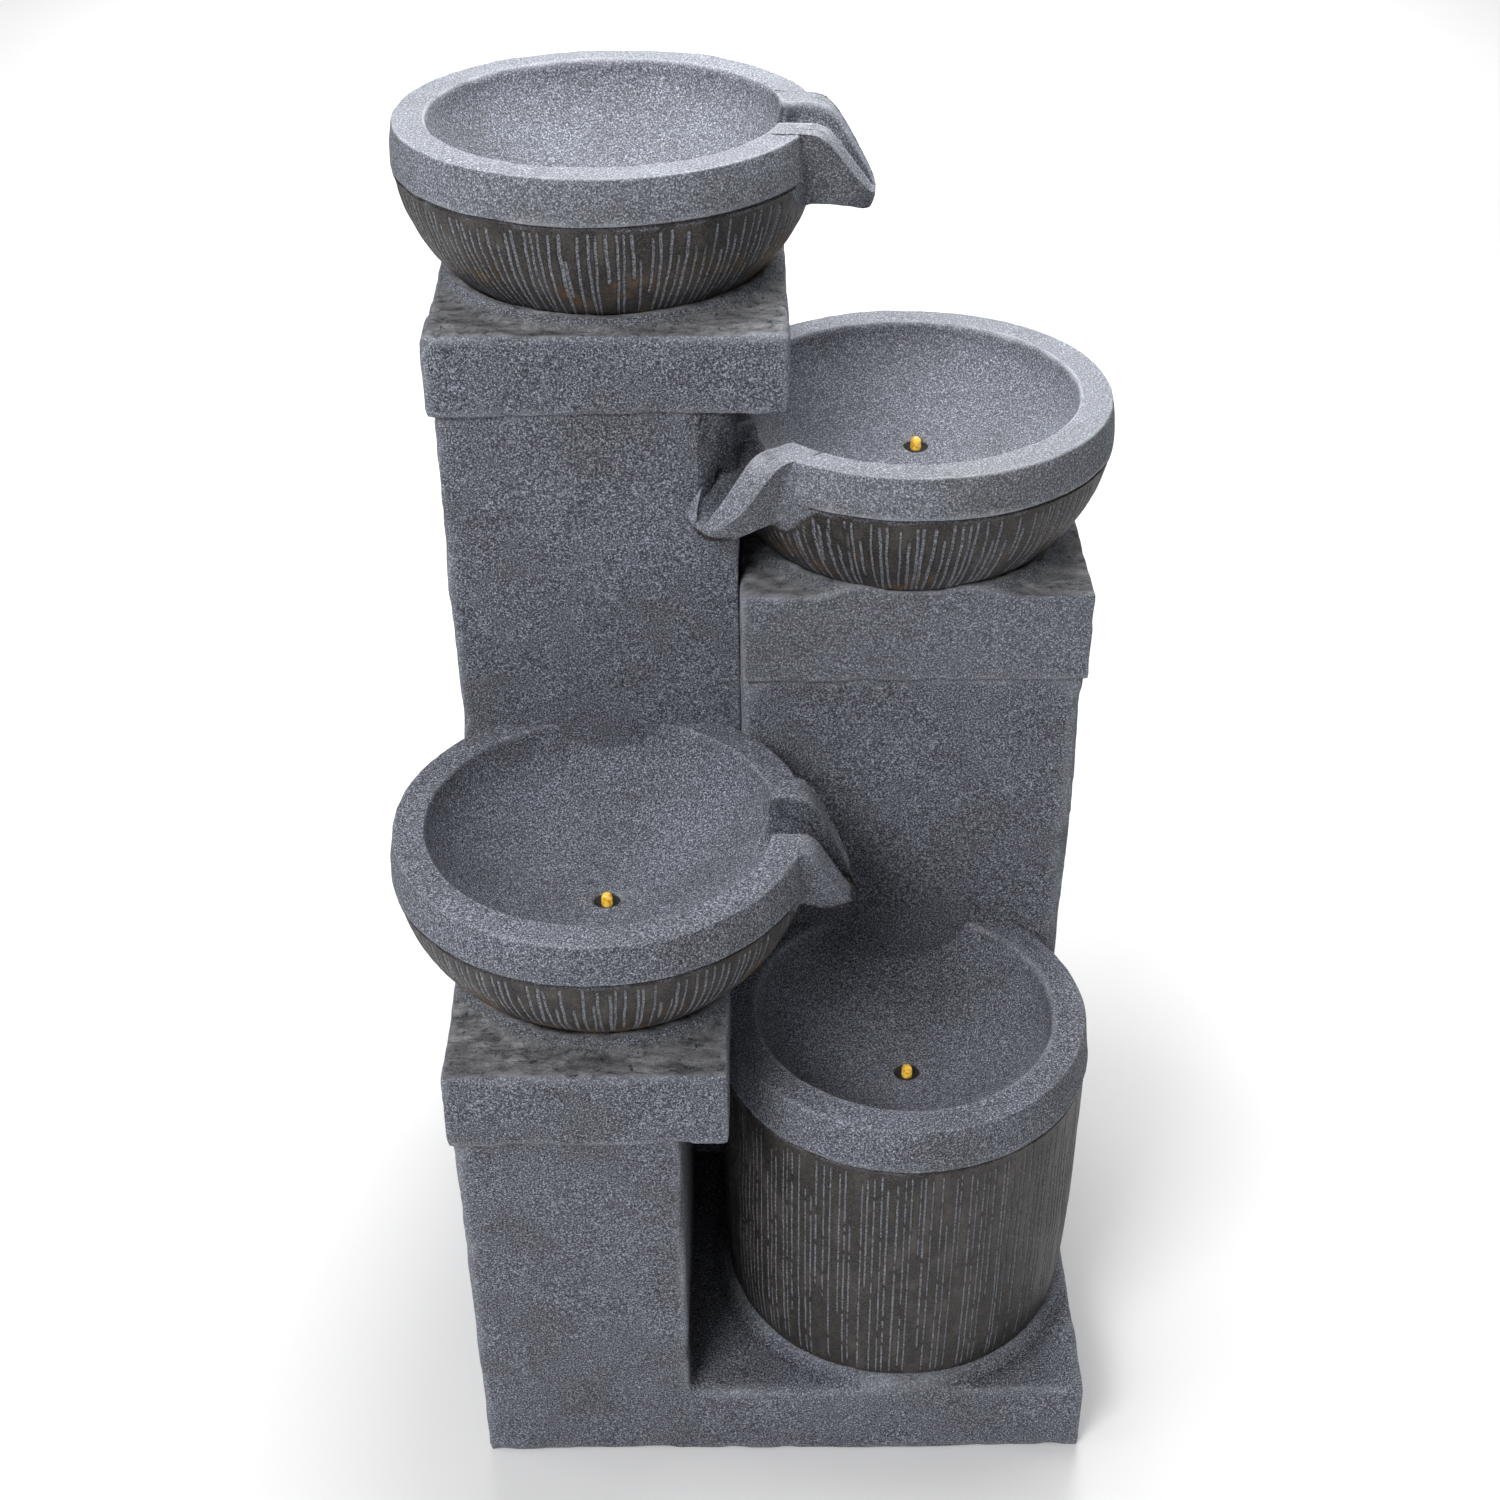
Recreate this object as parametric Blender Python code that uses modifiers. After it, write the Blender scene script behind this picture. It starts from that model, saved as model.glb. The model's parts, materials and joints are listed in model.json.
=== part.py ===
"""Tiered water fountain: three spouted bowls and a catch pot on stepped stone pillars.

Units are metres, +Z is up, the front faces -Y. The origin is the centre of the
bounding box on the ground plane.
"""
import math

import bmesh
import bpy
from mathutils import Vector

# ---------------------------------------------------------------- driving dimensions
GAP = 0.0003                 # clearance between touching pieces
WALL = 0.008                 # thickness of the cast stone walls

REAR_Y = 0.2165              # rear face of the plinth and the rear pillars
FRONT_Y = -0.2239            # front face of the plinth and the front pillar

PLINTH_RIGHT = 0.2127
PLINTH_TOP = 0.0585

TALL_X = (-0.1894, -0.0110)
TALL_FRONT = -0.0058
TALL_CAP_X = (-0.1916, 0.0185)
TALL_CAP_FRONT = -0.0093
TALL_CAP_Z = (0.6593, 0.7077)

MIDDLE_X = (-0.0107, 0.2042)
MIDDLE_FRONT = -0.0191
MIDDLE_CAP_X = (-0.0099, 0.2060)
MIDDLE_CAP_FRONT = -0.0221
MIDDLE_CAP_Z = (0.4840, 0.5443)

LOW_X = (-0.1845, -0.0481)
LOW_CAP_X = (-0.1867, -0.0198)
LOW_CAP_FRONT = -0.2285
LOW_CAP_Z = (0.2892, 0.3437)

CAP_REAR = 0.2204
CAP_POCKET_ROOF = 0.012      # stone left above the pocket under each cap

RIM_R = 0.1250               # outer radius of a bowl's rim
MOUTH_R = 0.1046             # inner radius of a bowl's rim
BAND_R = 0.1278              # widest radius, at the foot of the rim band
BAND_H = 0.0258
BOWL_DEPTH = 0.0613
BOWL_SIDE_DROP = 0.1065      # vertical half-axis of the elliptic underside
BOWL_SIDE_TOP = 0.01875      # depth of that ellipse's centre below the rim
RECESS_R = 0.0300            # hollow under the bowl's middle
RECESS_DEPTH = 0.0750

TOP_BOWL = (-0.0882, 0.1056, 0.8024)
MIDDLE_BOWL = (0.0954, 0.0708, 0.6396)
LOWER_BOWL = (-0.0955, -0.1055, 0.4428)
TOP_SPOUT = (-5.0, 0.0023)        # each spout's heading in degrees, then its extra reach
MIDDLE_SPOUT = (215.0, 0.0012)
LOWER_SPOUT = (-2.0, -0.0033)

POT = (0.0928, -0.1030, 0.2878)
POT_RIM_R = 0.1159
POT_MOUTH_R = 0.0948
POT_BAND_R = 0.1198
POT_BAND_H = 0.0290
POT_DEPTH = 0.0575
POT_FOOT_R = 0.1134
POT_RECESS_R = 0.1070
POT_RECESS_DEPTH = 0.0725

LAMP_HOLE_R = 0.0075
MIDDLE_LAMP = (0.1041, 0.1089)
LOWER_LAMP = (-0.0942, -0.1105)
POT_LAMP = (0.0968, -0.1038)

OUTLET_XY = (TOP_BOWL[0], TOP_BOWL[1])
OUTLET_HOLE_R = 0.0084
RETURN_XY = (POT[0], POT[1] - 0.056)
RETURN_HOLE_R = 0.0065

DOOR_X = (0.0500, 0.1600)
DOOR_Z = (0.0750, 0.2350)
DOOR_THICK = 0.0070
DOOR_AXIS = (0.0545, 0.2125)
DOOR_CLEARANCE = 0.0008
DOOR_PIN_R = 0.0012
DOOR_BORE_R = 0.0015
LATCH_XZ = (0.1700, 0.1550)

PUMP_X = (0.0800, 0.1300)
PUMP_Y = (0.0920, 0.1420)
PUMP_Z = (0.0140, 0.0560)
PUMP_AXIS_XZ = (0.1050, 0.0340)
NOZZLE_XY = (0.1050, 0.1000)
NOZZLE_TOP = 0.0720

GLAND_XZ = (0.1830, 0.0900)
DRAIN_XZ = (0.1650, 0.0240)
DRAIN_HOLE_R = 0.0060

TURN_STEPS = 32              # facets round a bowl
SMALL_STEPS = 16             # facets round a small turned piece

# ---------------------------------------------------------------- scene and materials
for old in list(bpy.data.objects):
    bpy.data.objects.remove(old, do_unlink=True)

PARTS = bpy.data.collections.new("tiered_water_fountain")
CUTTERS = bpy.data.collections.new("cutters")
for group in (PARTS, CUTTERS):
    bpy.context.scene.collection.children.link(group)


def material(name, colour, roughness, metallic=0.0):
    """A plain Principled material."""
    made = bpy.data.materials.new(name)
    made.use_nodes = True
    shader = made.node_tree.nodes["Principled BSDF"]
    shader.inputs["Base Color"].default_value = (*colour, 1.0)
    shader.inputs["Roughness"].default_value = roughness
    shader.inputs["Metallic"].default_value = metallic
    return made


STONE = material("granite_stone", (0.100, 0.108, 0.125), 0.85)
BOWL_STONE = material("bowl_stone", (0.125, 0.132, 0.145), 0.80)
BLACK_PLASTIC = material("black_plastic", (0.020, 0.020, 0.022), 0.50)
BLACK_RUBBER = material("black_rubber", (0.015, 0.015, 0.016), 0.75)
AMBER_LENS = material("amber_lens", (0.900, 0.520, 0.060), 0.15)
CLEAR_HOSE = material("clear_hose", (0.550, 0.600, 0.600), 0.30)
CERAMIC = material("white_ceramic", (0.850, 0.850, 0.820), 0.30)
MAGNET = material("magnet_black", (0.050, 0.050, 0.055), 0.40, 0.3)
STEEL = material("stainless_steel", (0.600, 0.600, 0.600), 0.30, 1.0)


# ---------------------------------------------------------------- modelling helpers
def finish(mesh, name, stuff, group, location=(0.0, 0.0, 0.0), turn_z=0.0):
    """Link a mesh as an object in its collection, at its place."""
    made = bpy.data.objects.new(name, mesh)
    made.location = location
    made.rotation_euler = (0.0, 0.0, turn_z)
    group.objects.link(made)
    if stuff is not None:
        mesh.materials.append(stuff)
    if group is CUTTERS:
        made.hide_render = True
        made.display_type = "WIRE"
    return made


def box(name, low, high, stuff=None, group=CUTTERS):
    """A box between two corners, with its origin at its centre."""
    low = Vector(low)
    high = Vector(high)
    built = bmesh.new()
    bmesh.ops.create_cube(built, size=1.0)
    bmesh.ops.scale(built, vec=high - low, verts=built.verts)
    mesh = bpy.data.meshes.new(name)
    built.to_mesh(mesh)
    built.free()
    return finish(mesh, name, stuff, group, (low + high) / 2)


def rod(name, radius, start, end, stuff=None, group=CUTTERS, sides=SMALL_STEPS):
    """A cylinder from one point to another, with its origin at its centre."""
    start = Vector(start)
    end = Vector(end)
    along = end - start
    built = bmesh.new()
    bmesh.ops.create_cone(built, cap_ends=True, segments=sides,
                          radius1=radius, radius2=radius, depth=along.length)
    mesh = bpy.data.meshes.new(name)
    built.to_mesh(mesh)
    built.free()
    made = finish(mesh, name, stuff, group, (start + end) / 2)
    made.rotation_euler = along.to_track_quat("Z", "Y").to_euler()
    mesh.shade_smooth()
    mesh.set_sharp_from_angle(angle=math.radians(30))
    return made


def turned(name, outline, place, stuff=None, group=CUTTERS, steps=SMALL_STEPS, turn_z=0.0):
    """A profile of (radius, height) points, turned about Z; the outer side runs downwards."""
    mesh = bpy.data.meshes.new(name)
    built = bmesh.new()
    corners = [built.verts.new((radius, 0.0, height)) for radius, height in outline]
    for first, second in zip(corners, corners[1:]):
        built.edges.new((first, second))
    if outline[0] != outline[-1] and outline[0][0] > 0:
        built.edges.new((corners[-1], corners[0]))
    built.to_mesh(mesh)
    built.free()
    made = finish(mesh, name, stuff, group, place, turn_z)
    screw = made.modifiers.new("turn", "SCREW")
    screw.steps = steps
    screw.render_steps = steps
    screw.use_merge_vertices = True
    screw.merge_threshold = 0.00001
    screw.use_smooth_shade = True
    return made


def loft(name, sections, stuff=None, group=CUTTERS, place=(0.0, 0.0, 0.0), turn_z=0.0):
    """A closed solid through rings of equally many points, capped at both ends."""
    built = bmesh.new()
    rings = [[built.verts.new(point) for point in section] for section in sections]
    for ring, after in zip(rings, rings[1:]):
        count = len(ring)
        for index in range(count):
            other = (index + 1) % count
            built.faces.new((ring[index], ring[other], after[other], after[index]))
    built.faces.new(rings[0])
    built.faces.new(rings[-1])
    bmesh.ops.recalc_face_normals(built, faces=built.faces)
    mesh = bpy.data.meshes.new(name)
    built.to_mesh(mesh)
    built.free()
    return finish(mesh, name, stuff, group, place, turn_z)


def combine(target, other, operation):
    """Add a Boolean modifier to the target."""
    step = target.modifiers.new(operation.lower(), "BOOLEAN")
    step.operation = operation
    step.solver = "EXACT"
    step.object = other


def cut(target, *cutters):
    for cutter in cutters:
        combine(target, cutter, "DIFFERENCE")


def join(target, *others):
    for other in others:
        combine(target, other, "UNION")


def soften(target, width):
    """Slightly rounded edges."""
    bevel = target.modifiers.new("soft_edges", "BEVEL")
    bevel.width = width
    bevel.segments = 1
    bevel.limit_method = "ANGLE"


def smooth_route(corners, count):
    """Evenly numbered points on a Catmull-Rom curve through the corners."""
    padded = [corners[0], *corners, corners[-1]]
    spans = len(corners) - 1
    route = []
    for index in range(count):
        position = index * spans / (count - 1)
        span = min(int(position), spans - 1)
        t = position - span
        a, b, c, d = (Vector(point) for point in padded[span:span + 4])
        route.append(0.5 * (2 * b + (c - a) * t + (2 * a - 5 * b + 4 * c - d) * t ** 2
                            + (3 * b - a - 3 * c + d) * t ** 3))
    return route


def tube(name, corners, radius, stuff, count=18):
    """A solid round tube along a smooth route."""
    curve = bpy.data.curves.new(name, "CURVE")
    curve.dimensions = "3D"
    curve.bevel_depth = radius
    curve.bevel_resolution = 2
    curve.use_fill_caps = True
    curve.resolution_u = 1
    curve.render_resolution_u = 0
    spline = curve.splines.new("POLY")
    route = smooth_route(corners, count)
    spline.points.add(len(route) - 1)
    for point, place in zip(spline.points, route):
        point.co = (*place, 1.0)
    curve.materials.append(stuff)
    made = bpy.data.objects.new(name, curve)
    PARTS.objects.link(made)
    return made


def ellipse_arc(radius, depth, first_deg, last_deg, count, top=0.0):
    """Points on a quarter ellipse: 0 degrees at the widest point, 90 at the bottom."""
    points = []
    for index in range(count):
        angle = math.radians(first_deg + (last_deg - first_deg) * index / (count - 1))
        points.append((radius * math.cos(angle), -top - depth * math.sin(angle)))
    return points


# ---------------------------------------------------------------- plinth and pillars
def make_plinth():
    """L-shaped hollow tub: the sump, with a deck that carries the pot and the rear pillars."""
    left = TALL_X[0]
    notch_x = LOW_X[1] + GAP
    notch_y = TALL_FRONT
    corners = ((left, notch_y), (notch_x, notch_y), (notch_x, FRONT_Y),
               (PLINTH_RIGHT, FRONT_Y), (PLINTH_RIGHT, REAR_Y), (left, REAR_Y))
    lower = [(x, y, 0.0) for x, y in corners]
    upper = [(x, y, PLINTH_TOP) for x, y in corners]
    plinth = loft("base_plinth", (lower, upper), STONE, PARTS)
    floor = WALL
    roof = PLINTH_TOP - WALL
    rear_sump = box("rear_sump", (left + WALL, notch_y + WALL, floor),
                    (PLINTH_RIGHT - WALL, REAR_Y - WALL, roof))
    front_sump = box("front_sump", (notch_x + WALL, FRONT_Y + WALL, floor),
                     (PLINTH_RIGHT - WALL, notch_y + 2 * WALL, roof))
    pump_well = box("pump_well", (0.0200, 0.0100, roof - WALL), (0.1900, 0.2000, PLINTH_TOP + WALL))
    hose_well = box("hose_well", (-0.1700, 0.0200, roof - WALL), (-0.0250, 0.2000, PLINTH_TOP + WALL))
    return_hole = rod("deck_return_hole", RETURN_HOLE_R,
                      (*RETURN_XY, roof - WALL), (*RETURN_XY, PLINTH_TOP + WALL))
    lead_hole = rod("deck_lead_hole", 0.0040, (*POT_LAMP, roof - WALL), (*POT_LAMP, PLINTH_TOP + WALL))
    drain_x, drain_z = DRAIN_XZ
    drain_hole = rod("drain_hole", DRAIN_HOLE_R,
                     (drain_x, REAR_Y - 2 * WALL, drain_z), (drain_x, REAR_Y + WALL, drain_z))
    cut(plinth, rear_sump, front_sump, pump_well, hose_well, return_hole, lead_hole, drain_hole)


def hollow_pillar(name, x_span, front, rear, z_span):
    """A square tube of cast stone, open at the top and bottom."""
    low_z, high_z = z_span
    pillar = box(name, (x_span[0], front, low_z), (x_span[1], rear, high_z), STONE, PARTS)
    core = box(name + "_core", (x_span[0] + WALL, front + WALL, low_z - WALL),
               (x_span[1] - WALL, rear - WALL, high_z + WALL))
    cut(pillar, core)
    return pillar


def spout_notch(name, inset):
    """Corner of the tall pillar that the middle bowl's spout passes through."""
    along = Vector((math.cos(math.radians(MIDDLE_SPOUT[0])),
                    math.sin(math.radians(MIDDLE_SPOUT[0])), 0.0))
    top = TALL_CAP_Z[0] + 0.004 - inset
    bottom = MIDDLE_BOWL[2] - 0.0590 + inset
    shape = ((-0.0160 + inset, top), (0.0500, top), (0.0500, bottom), (-0.0420 + inset, bottom))
    face = [Vector((x, TALL_FRONT, z)) for x, z in shape]
    near = [point + along * 0.04 for point in face]
    far = [point - along * 0.20 for point in face]
    return loft(name, (near, far))


def make_tall_pillar():
    pillar = hollow_pillar("tall_pillar", TALL_X, TALL_FRONT, REAR_Y,
                           (PLINTH_TOP + GAP, TALL_CAP_Z[0] - GAP))
    side_window = box("tall_side_window", (TALL_X[1] - 2 * WALL, 0.0900, 0.2000),
                      (TALL_X[1] + WALL, 0.1700, 0.2600))
    front_window = box("tall_front_window", (-0.1250, TALL_FRONT - WALL, 0.1800),
                       (-0.0950, TALL_FRONT + 2 * WALL, 0.2100))
    cut(pillar, spout_notch("spout_notch_cutter", 0.0), side_window, front_window)


def make_front_pillar():
    pillar = hollow_pillar("front_pillar", LOW_X, FRONT_Y, TALL_FRONT - GAP,
                           (0.0, LOW_CAP_Z[0] - GAP))
    window = box("front_rear_window", (-0.1250, TALL_FRONT - 2 * WALL, 0.1800),
                 (-0.0950, TALL_FRONT + WALL, 0.2100))
    cut(pillar, window)


def make_middle_pillar():
    pillar = hollow_pillar("middle_pillar", MIDDLE_X, MIDDLE_FRONT, REAR_Y,
                           (PLINTH_TOP + GAP, MIDDLE_CAP_Z[0] - GAP))
    window = box("middle_side_window", (MIDDLE_X[0] - WALL, 0.0900, 0.2000),
                 (MIDDLE_X[0] + 2 * WALL, 0.1700, 0.2600))
    doorway = box("doorway", (DOOR_X[0], REAR_Y - 2 * WALL, DOOR_Z[0]),
                  (DOOR_X[1], REAR_Y + WALL, DOOR_Z[1]))
    pin_bore = rod("pin_bore", DOOR_BORE_R, (*DOOR_AXIS, DOOR_Z[0] - 0.0065),
                   (*DOOR_AXIS, DOOR_Z[1] + 0.0065), sides=12)
    latch_x, latch_z = LATCH_XZ
    latch_bore = rod("latch_bore", 0.0021, (latch_x, REAR_Y - 2 * WALL, latch_z),
                     (latch_x, REAR_Y + WALL, latch_z), sides=12)
    gland_x, gland_z = GLAND_XZ
    gland_hole = rod("gland_hole", 0.0055, (gland_x, REAR_Y - 2 * WALL, gland_z),
                     (gland_x, REAR_Y + WALL, gland_z))
    cut(pillar, window, doorway, pin_bore, latch_bore, gland_hole)


# ---------------------------------------------------------------- caps
def bowl_side_radius(depth):
    """Outer radius of a bowl at a depth below its rim, on the elliptic underside."""
    fall = (depth - BOWL_SIDE_TOP) / BOWL_SIDE_DROP
    return BAND_R * math.sqrt(1.0 - fall * fall)


def bedding_collar(name, centre, cap_top, height, spread):
    """Low collar of stone that beds a bowl on its cap."""
    rim_z = centre[2]
    bite = 0.001
    inner_low = bowl_side_radius(rim_z - cap_top) + 0.0005
    inner_high = bowl_side_radius(rim_z - cap_top - height) + 0.0005
    outline = ((inner_high, height), (inner_high + 0.003, height),
               (inner_high + 0.5 * spread, 0.55 * height), (inner_high + spread, 0.0),
               (inner_high + spread, -bite), (inner_low, -bite), (inner_low, 0.0))
    return turned(name, outline, (centre[0], centre[1], cap_top), steps=TURN_STEPS)


def make_cap(name, x_span, front, rear, z_span, pillar_box, bowl, hole_xy, hole_r):
    """A capping slab: pocket below, bedding collar on top, one hole down into the pillar."""
    cap = box(name, (x_span[0], front, z_span[0]), (x_span[1], rear, z_span[1]), STONE, PARTS)
    collar = bedding_collar(name + "_collar", bowl, z_span[1], 0.0065, 0.0140)
    footprint = box(name + "_footprint", (x_span[0], front, z_span[1] - WALL),
                    (x_span[1], rear, z_span[1] + 2 * WALL))
    combine(collar, footprint, "INTERSECT")
    join(cap, collar)
    (pillar_left, pillar_right), pillar_front, pillar_rear = pillar_box
    inset = WALL + 0.002
    pocket = box(name + "_pocket",
                 (pillar_left + inset, pillar_front + inset, z_span[0] - WALL),
                 (pillar_right - inset, pillar_rear - inset, z_span[1] - CAP_POCKET_ROOF))
    hole = rod(name + "_hole", hole_r, (*hole_xy, z_span[0]), (*hole_xy, z_span[1] + WALL))
    cut(cap, pocket, hole)


def make_caps():
    make_cap("tall_cap", TALL_CAP_X, TALL_CAP_FRONT, CAP_REAR, TALL_CAP_Z,
             (TALL_X, TALL_FRONT, REAR_Y), TOP_BOWL, OUTLET_XY, 0.0135)
    make_cap("middle_cap", MIDDLE_CAP_X, MIDDLE_CAP_FRONT, CAP_REAR, MIDDLE_CAP_Z,
             (MIDDLE_X, MIDDLE_FRONT, REAR_Y), MIDDLE_BOWL, MIDDLE_LAMP, 0.0080)
    make_cap("front_cap", LOW_CAP_X, LOW_CAP_FRONT, TALL_FRONT - GAP, LOW_CAP_Z,
             (LOW_X, FRONT_Y, TALL_FRONT - GAP), LOWER_BOWL, LOWER_LAMP, 0.0080)


# ---------------------------------------------------------------- bowls and pot
def spout_section(reach, half, edge, inner, ridge, keel):
    """One cross-section of the spout's body: its land falls from the ridge to the outer edge."""
    middle = (edge + keel) / 2
    return [(reach, -half, edge), (reach, -half * 0.85, middle), (reach, -half * 0.7, keel),
            (reach, half * 0.7, keel), (reach, half * 0.85, middle), (reach, half, edge),
            (reach, inner, ridge), (reach, -inner, ridge)]


def channel_section(reach, half, shoulder, bed):
    """One cross-section of the water channel, open upwards."""
    top = 0.0120
    return [(reach, -half, top), (reach, -half, shoulder), (reach, -half * 0.35, bed),
            (reach, half * 0.35, bed), (reach, half, shoulder), (reach, half, top)]


def spout_body(name, place, turn_z, extra):
    """Beak that leaves the rim, narrows and drops to a blunt rounded tip."""
    stations = ((0.1100, 0.0400, -0.0012, 0.0205, -0.0006, -0.0430),
                (0.1250, 0.0386, -0.0030, 0.0196, -0.0010, -0.0432),
                (0.1300, 0.0368, -0.0078, 0.0186, -0.0041, -0.0440),
                (0.1350, 0.0335, -0.0138, 0.0173, -0.0101, -0.0451),
                (0.1400, 0.0290, -0.0210, 0.0162, -0.0170, -0.0461),
                (0.1500, 0.0204, -0.0356, 0.0128, -0.0318, -0.0484),
                (0.1560, 0.0145, -0.0450, 0.0082, -0.0425, -0.0498),
                (0.1605, 0.0075, -0.0495, 0.0035, -0.0480, -0.0510))
    return loft(name, [spout_section(reach + extra, *rest) for reach, *rest in stations],
                place=place, turn_z=turn_z)


def spout_channel(name, place, turn_z, extra):
    """Water channel from the bowl to just short of the spout's tip."""
    stations = ((0.0750, 0.0220, -0.0110, -0.0260), (0.1046, 0.0203, -0.0120, -0.0280),
                (0.1250, 0.0194, -0.0135, -0.0280), (0.1350, 0.0171, -0.0215, -0.0310),
                (0.1450, 0.0146, -0.0331, -0.0395), (0.1540, 0.0095, -0.0440, -0.0460),
                (0.1585, 0.0045, -0.0478, -0.0482))
    return loft(name, [channel_section(reach + extra, *rest) for reach, *rest in stations],
                place=place, turn_z=turn_z)


def bowl_outline(foot_depth):
    """Half-section of a bowl: inside, rim, outside, foot and the recess below."""
    rim_round = 0.0020
    inside = ellipse_arc(MOUTH_R, BOWL_DEPTH, 90.0, 4.0, 6)
    inside[0] = (0.0, -BOWL_DEPTH)
    last_deg = math.degrees(math.asin((foot_depth - BOWL_SIDE_TOP) / BOWL_SIDE_DROP))
    first_deg = math.degrees(math.asin((BAND_H + 0.0012 - BOWL_SIDE_TOP) / BOWL_SIDE_DROP))
    outside = ellipse_arc(BAND_R - 0.0010, BOWL_SIDE_DROP, first_deg, last_deg, 6, BOWL_SIDE_TOP)
    rim = [(MOUTH_R + rim_round, 0.0), (RIM_R - rim_round, 0.0), (RIM_R, -rim_round),
           (BAND_R, -BAND_H)]
    recess = [(RECESS_R, -foot_depth), (RECESS_R, -RECESS_DEPTH), (0.0, -RECESS_DEPTH)]
    return inside + rim + outside + recess


def make_bowl(name, centre, spout, cap_top, hole_xy, hole_r):
    """A round bowl with its spout, channel and one hole in its floor."""
    foot_depth = centre[2] - cap_top - GAP
    turn_z = math.radians(spout[0])
    below = centre[2] - foot_depth - WALL
    bowl = turned(name, bowl_outline(foot_depth), centre, BOWL_STONE, PARTS,
                  TURN_STEPS, turn_z)
    join(bowl, spout_body(name + "_spout", centre, turn_z, spout[1]))
    hole = rod(name + "_hole", hole_r, (*hole_xy, below), (*hole_xy, centre[2] - 0.0350))
    cut(bowl, spout_channel(name + "_channel", centre, turn_z, spout[1]), hole)
    return bowl


def pillar_clearance(name, x_span, front, top):
    """Space that a rear pillar takes, with its gap, as a cutter."""
    return box(name, (x_span[0] - GAP, front - GAP, 0.0), (x_span[1] + GAP, REAR_Y, top))


def make_bowls():
    make_bowl("top_bowl", TOP_BOWL, TOP_SPOUT, TALL_CAP_Z[1], OUTLET_XY, OUTLET_HOLE_R)
    middle = make_bowl("middle_bowl", MIDDLE_BOWL, MIDDLE_SPOUT, MIDDLE_CAP_Z[1],
                       MIDDLE_LAMP, LAMP_HOLE_R)
    tall_space = pillar_clearance("tall_space_notched", TALL_X, TALL_FRONT, TALL_CAP_Z[0])
    cut(tall_space, spout_notch("spout_notch_shrunk", 0.0006))
    cut(middle, tall_space)
    lower = make_bowl("lower_bowl", LOWER_BOWL, LOWER_SPOUT, LOW_CAP_Z[1],
                      LOWER_LAMP, LAMP_HOLE_R)
    cut(lower, pillar_clearance("tall_space", TALL_X, TALL_FRONT, TALL_CAP_Z[0]),
        pillar_clearance("middle_space", MIDDLE_X, MIDDLE_FRONT, MIDDLE_CAP_Z[0]))


def make_pot():
    """Cylinder with a bowl-shaped inside, hollow below, cut back by the middle pillar."""
    foot = POT[2] - PLINTH_TOP - GAP
    rim_round = 0.0020
    inside = ellipse_arc(POT_MOUTH_R, POT_DEPTH, 90.0, 4.0, 6)
    inside[0] = (0.0, -POT_DEPTH)
    rim = [(POT_MOUTH_R + rim_round, 0.0), (POT_RIM_R - rim_round, 0.0),
           (POT_RIM_R, -rim_round), (POT_BAND_R, -POT_BAND_H)]
    side = [(POT_BAND_R - 0.0012, -POT_BAND_H - 0.0012), (0.1180, -0.1500), (0.1168, -0.2000),
            (0.1152, foot * -0.955), (POT_FOOT_R, -foot)]
    recess = [(POT_RECESS_R, -foot), (POT_RECESS_R, -POT_RECESS_DEPTH), (0.0, -POT_RECESS_DEPTH)]
    pot = turned("catch_pot", inside + rim + side + recess, POT, BOWL_STONE, PARTS, TURN_STEPS)
    lamp_hole = rod("pot_lamp_hole", LAMP_HOLE_R, (*POT_LAMP, POT[2] - 0.0900), (*POT_LAMP, POT[2] - 0.0350))
    return_hole = rod("pot_return_hole", RETURN_HOLE_R, (*RETURN_XY, POT[2] - 0.0900),
                      (*RETURN_XY, POT[2] - 0.0350))
    seat = rod("strainer_seat", 0.0095, (*RETURN_XY, 0.2360), (*RETURN_XY, POT[2] - 0.0100))
    clearance = pillar_clearance("middle_space_pot", MIDDLE_X, MIDDLE_FRONT, MIDDLE_CAP_Z[0])
    cut(pot, lamp_hole, return_hole, seat, clearance)


# ---------------------------------------------------------------- lamps
def lamp_seat_z(centre, mouth_r, depth, xy):
    """Height of the inner surface of a basin at a point."""
    radius = math.hypot(xy[0] - centre[0], xy[1] - centre[1])
    return centre[2] - depth * math.sqrt(1.0 - (radius / mouth_r) ** 2)


def make_lamp(label, xy, seat_z):
    """An amber lens in a black rubber grommet."""
    outer = LAMP_HOLE_R - GAP
    bore = 0.0036
    lens_r = bore - GAP
    grommet = ((bore, -0.0012), (outer - 0.0010, -0.0012), (outer, -0.0022), (outer, -0.0120),
               (bore, -0.0120))
    turned("led_grommet_" + label, grommet, (*xy, seat_z), BLACK_RUBBER, PARTS)
    dome = [(0.0, 0.0075)]
    for index in range(1, 5):
        angle = math.radians(90.0 - 22.5 * index)
        dome.append((lens_r * math.cos(angle), 0.0042 + lens_r * math.sin(angle)))
    lens = dome + [(lens_r, -0.0110), (0.0, -0.0110)]
    turned("led_lens_" + label, lens, (*xy, seat_z), AMBER_LENS, PARTS)


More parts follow.
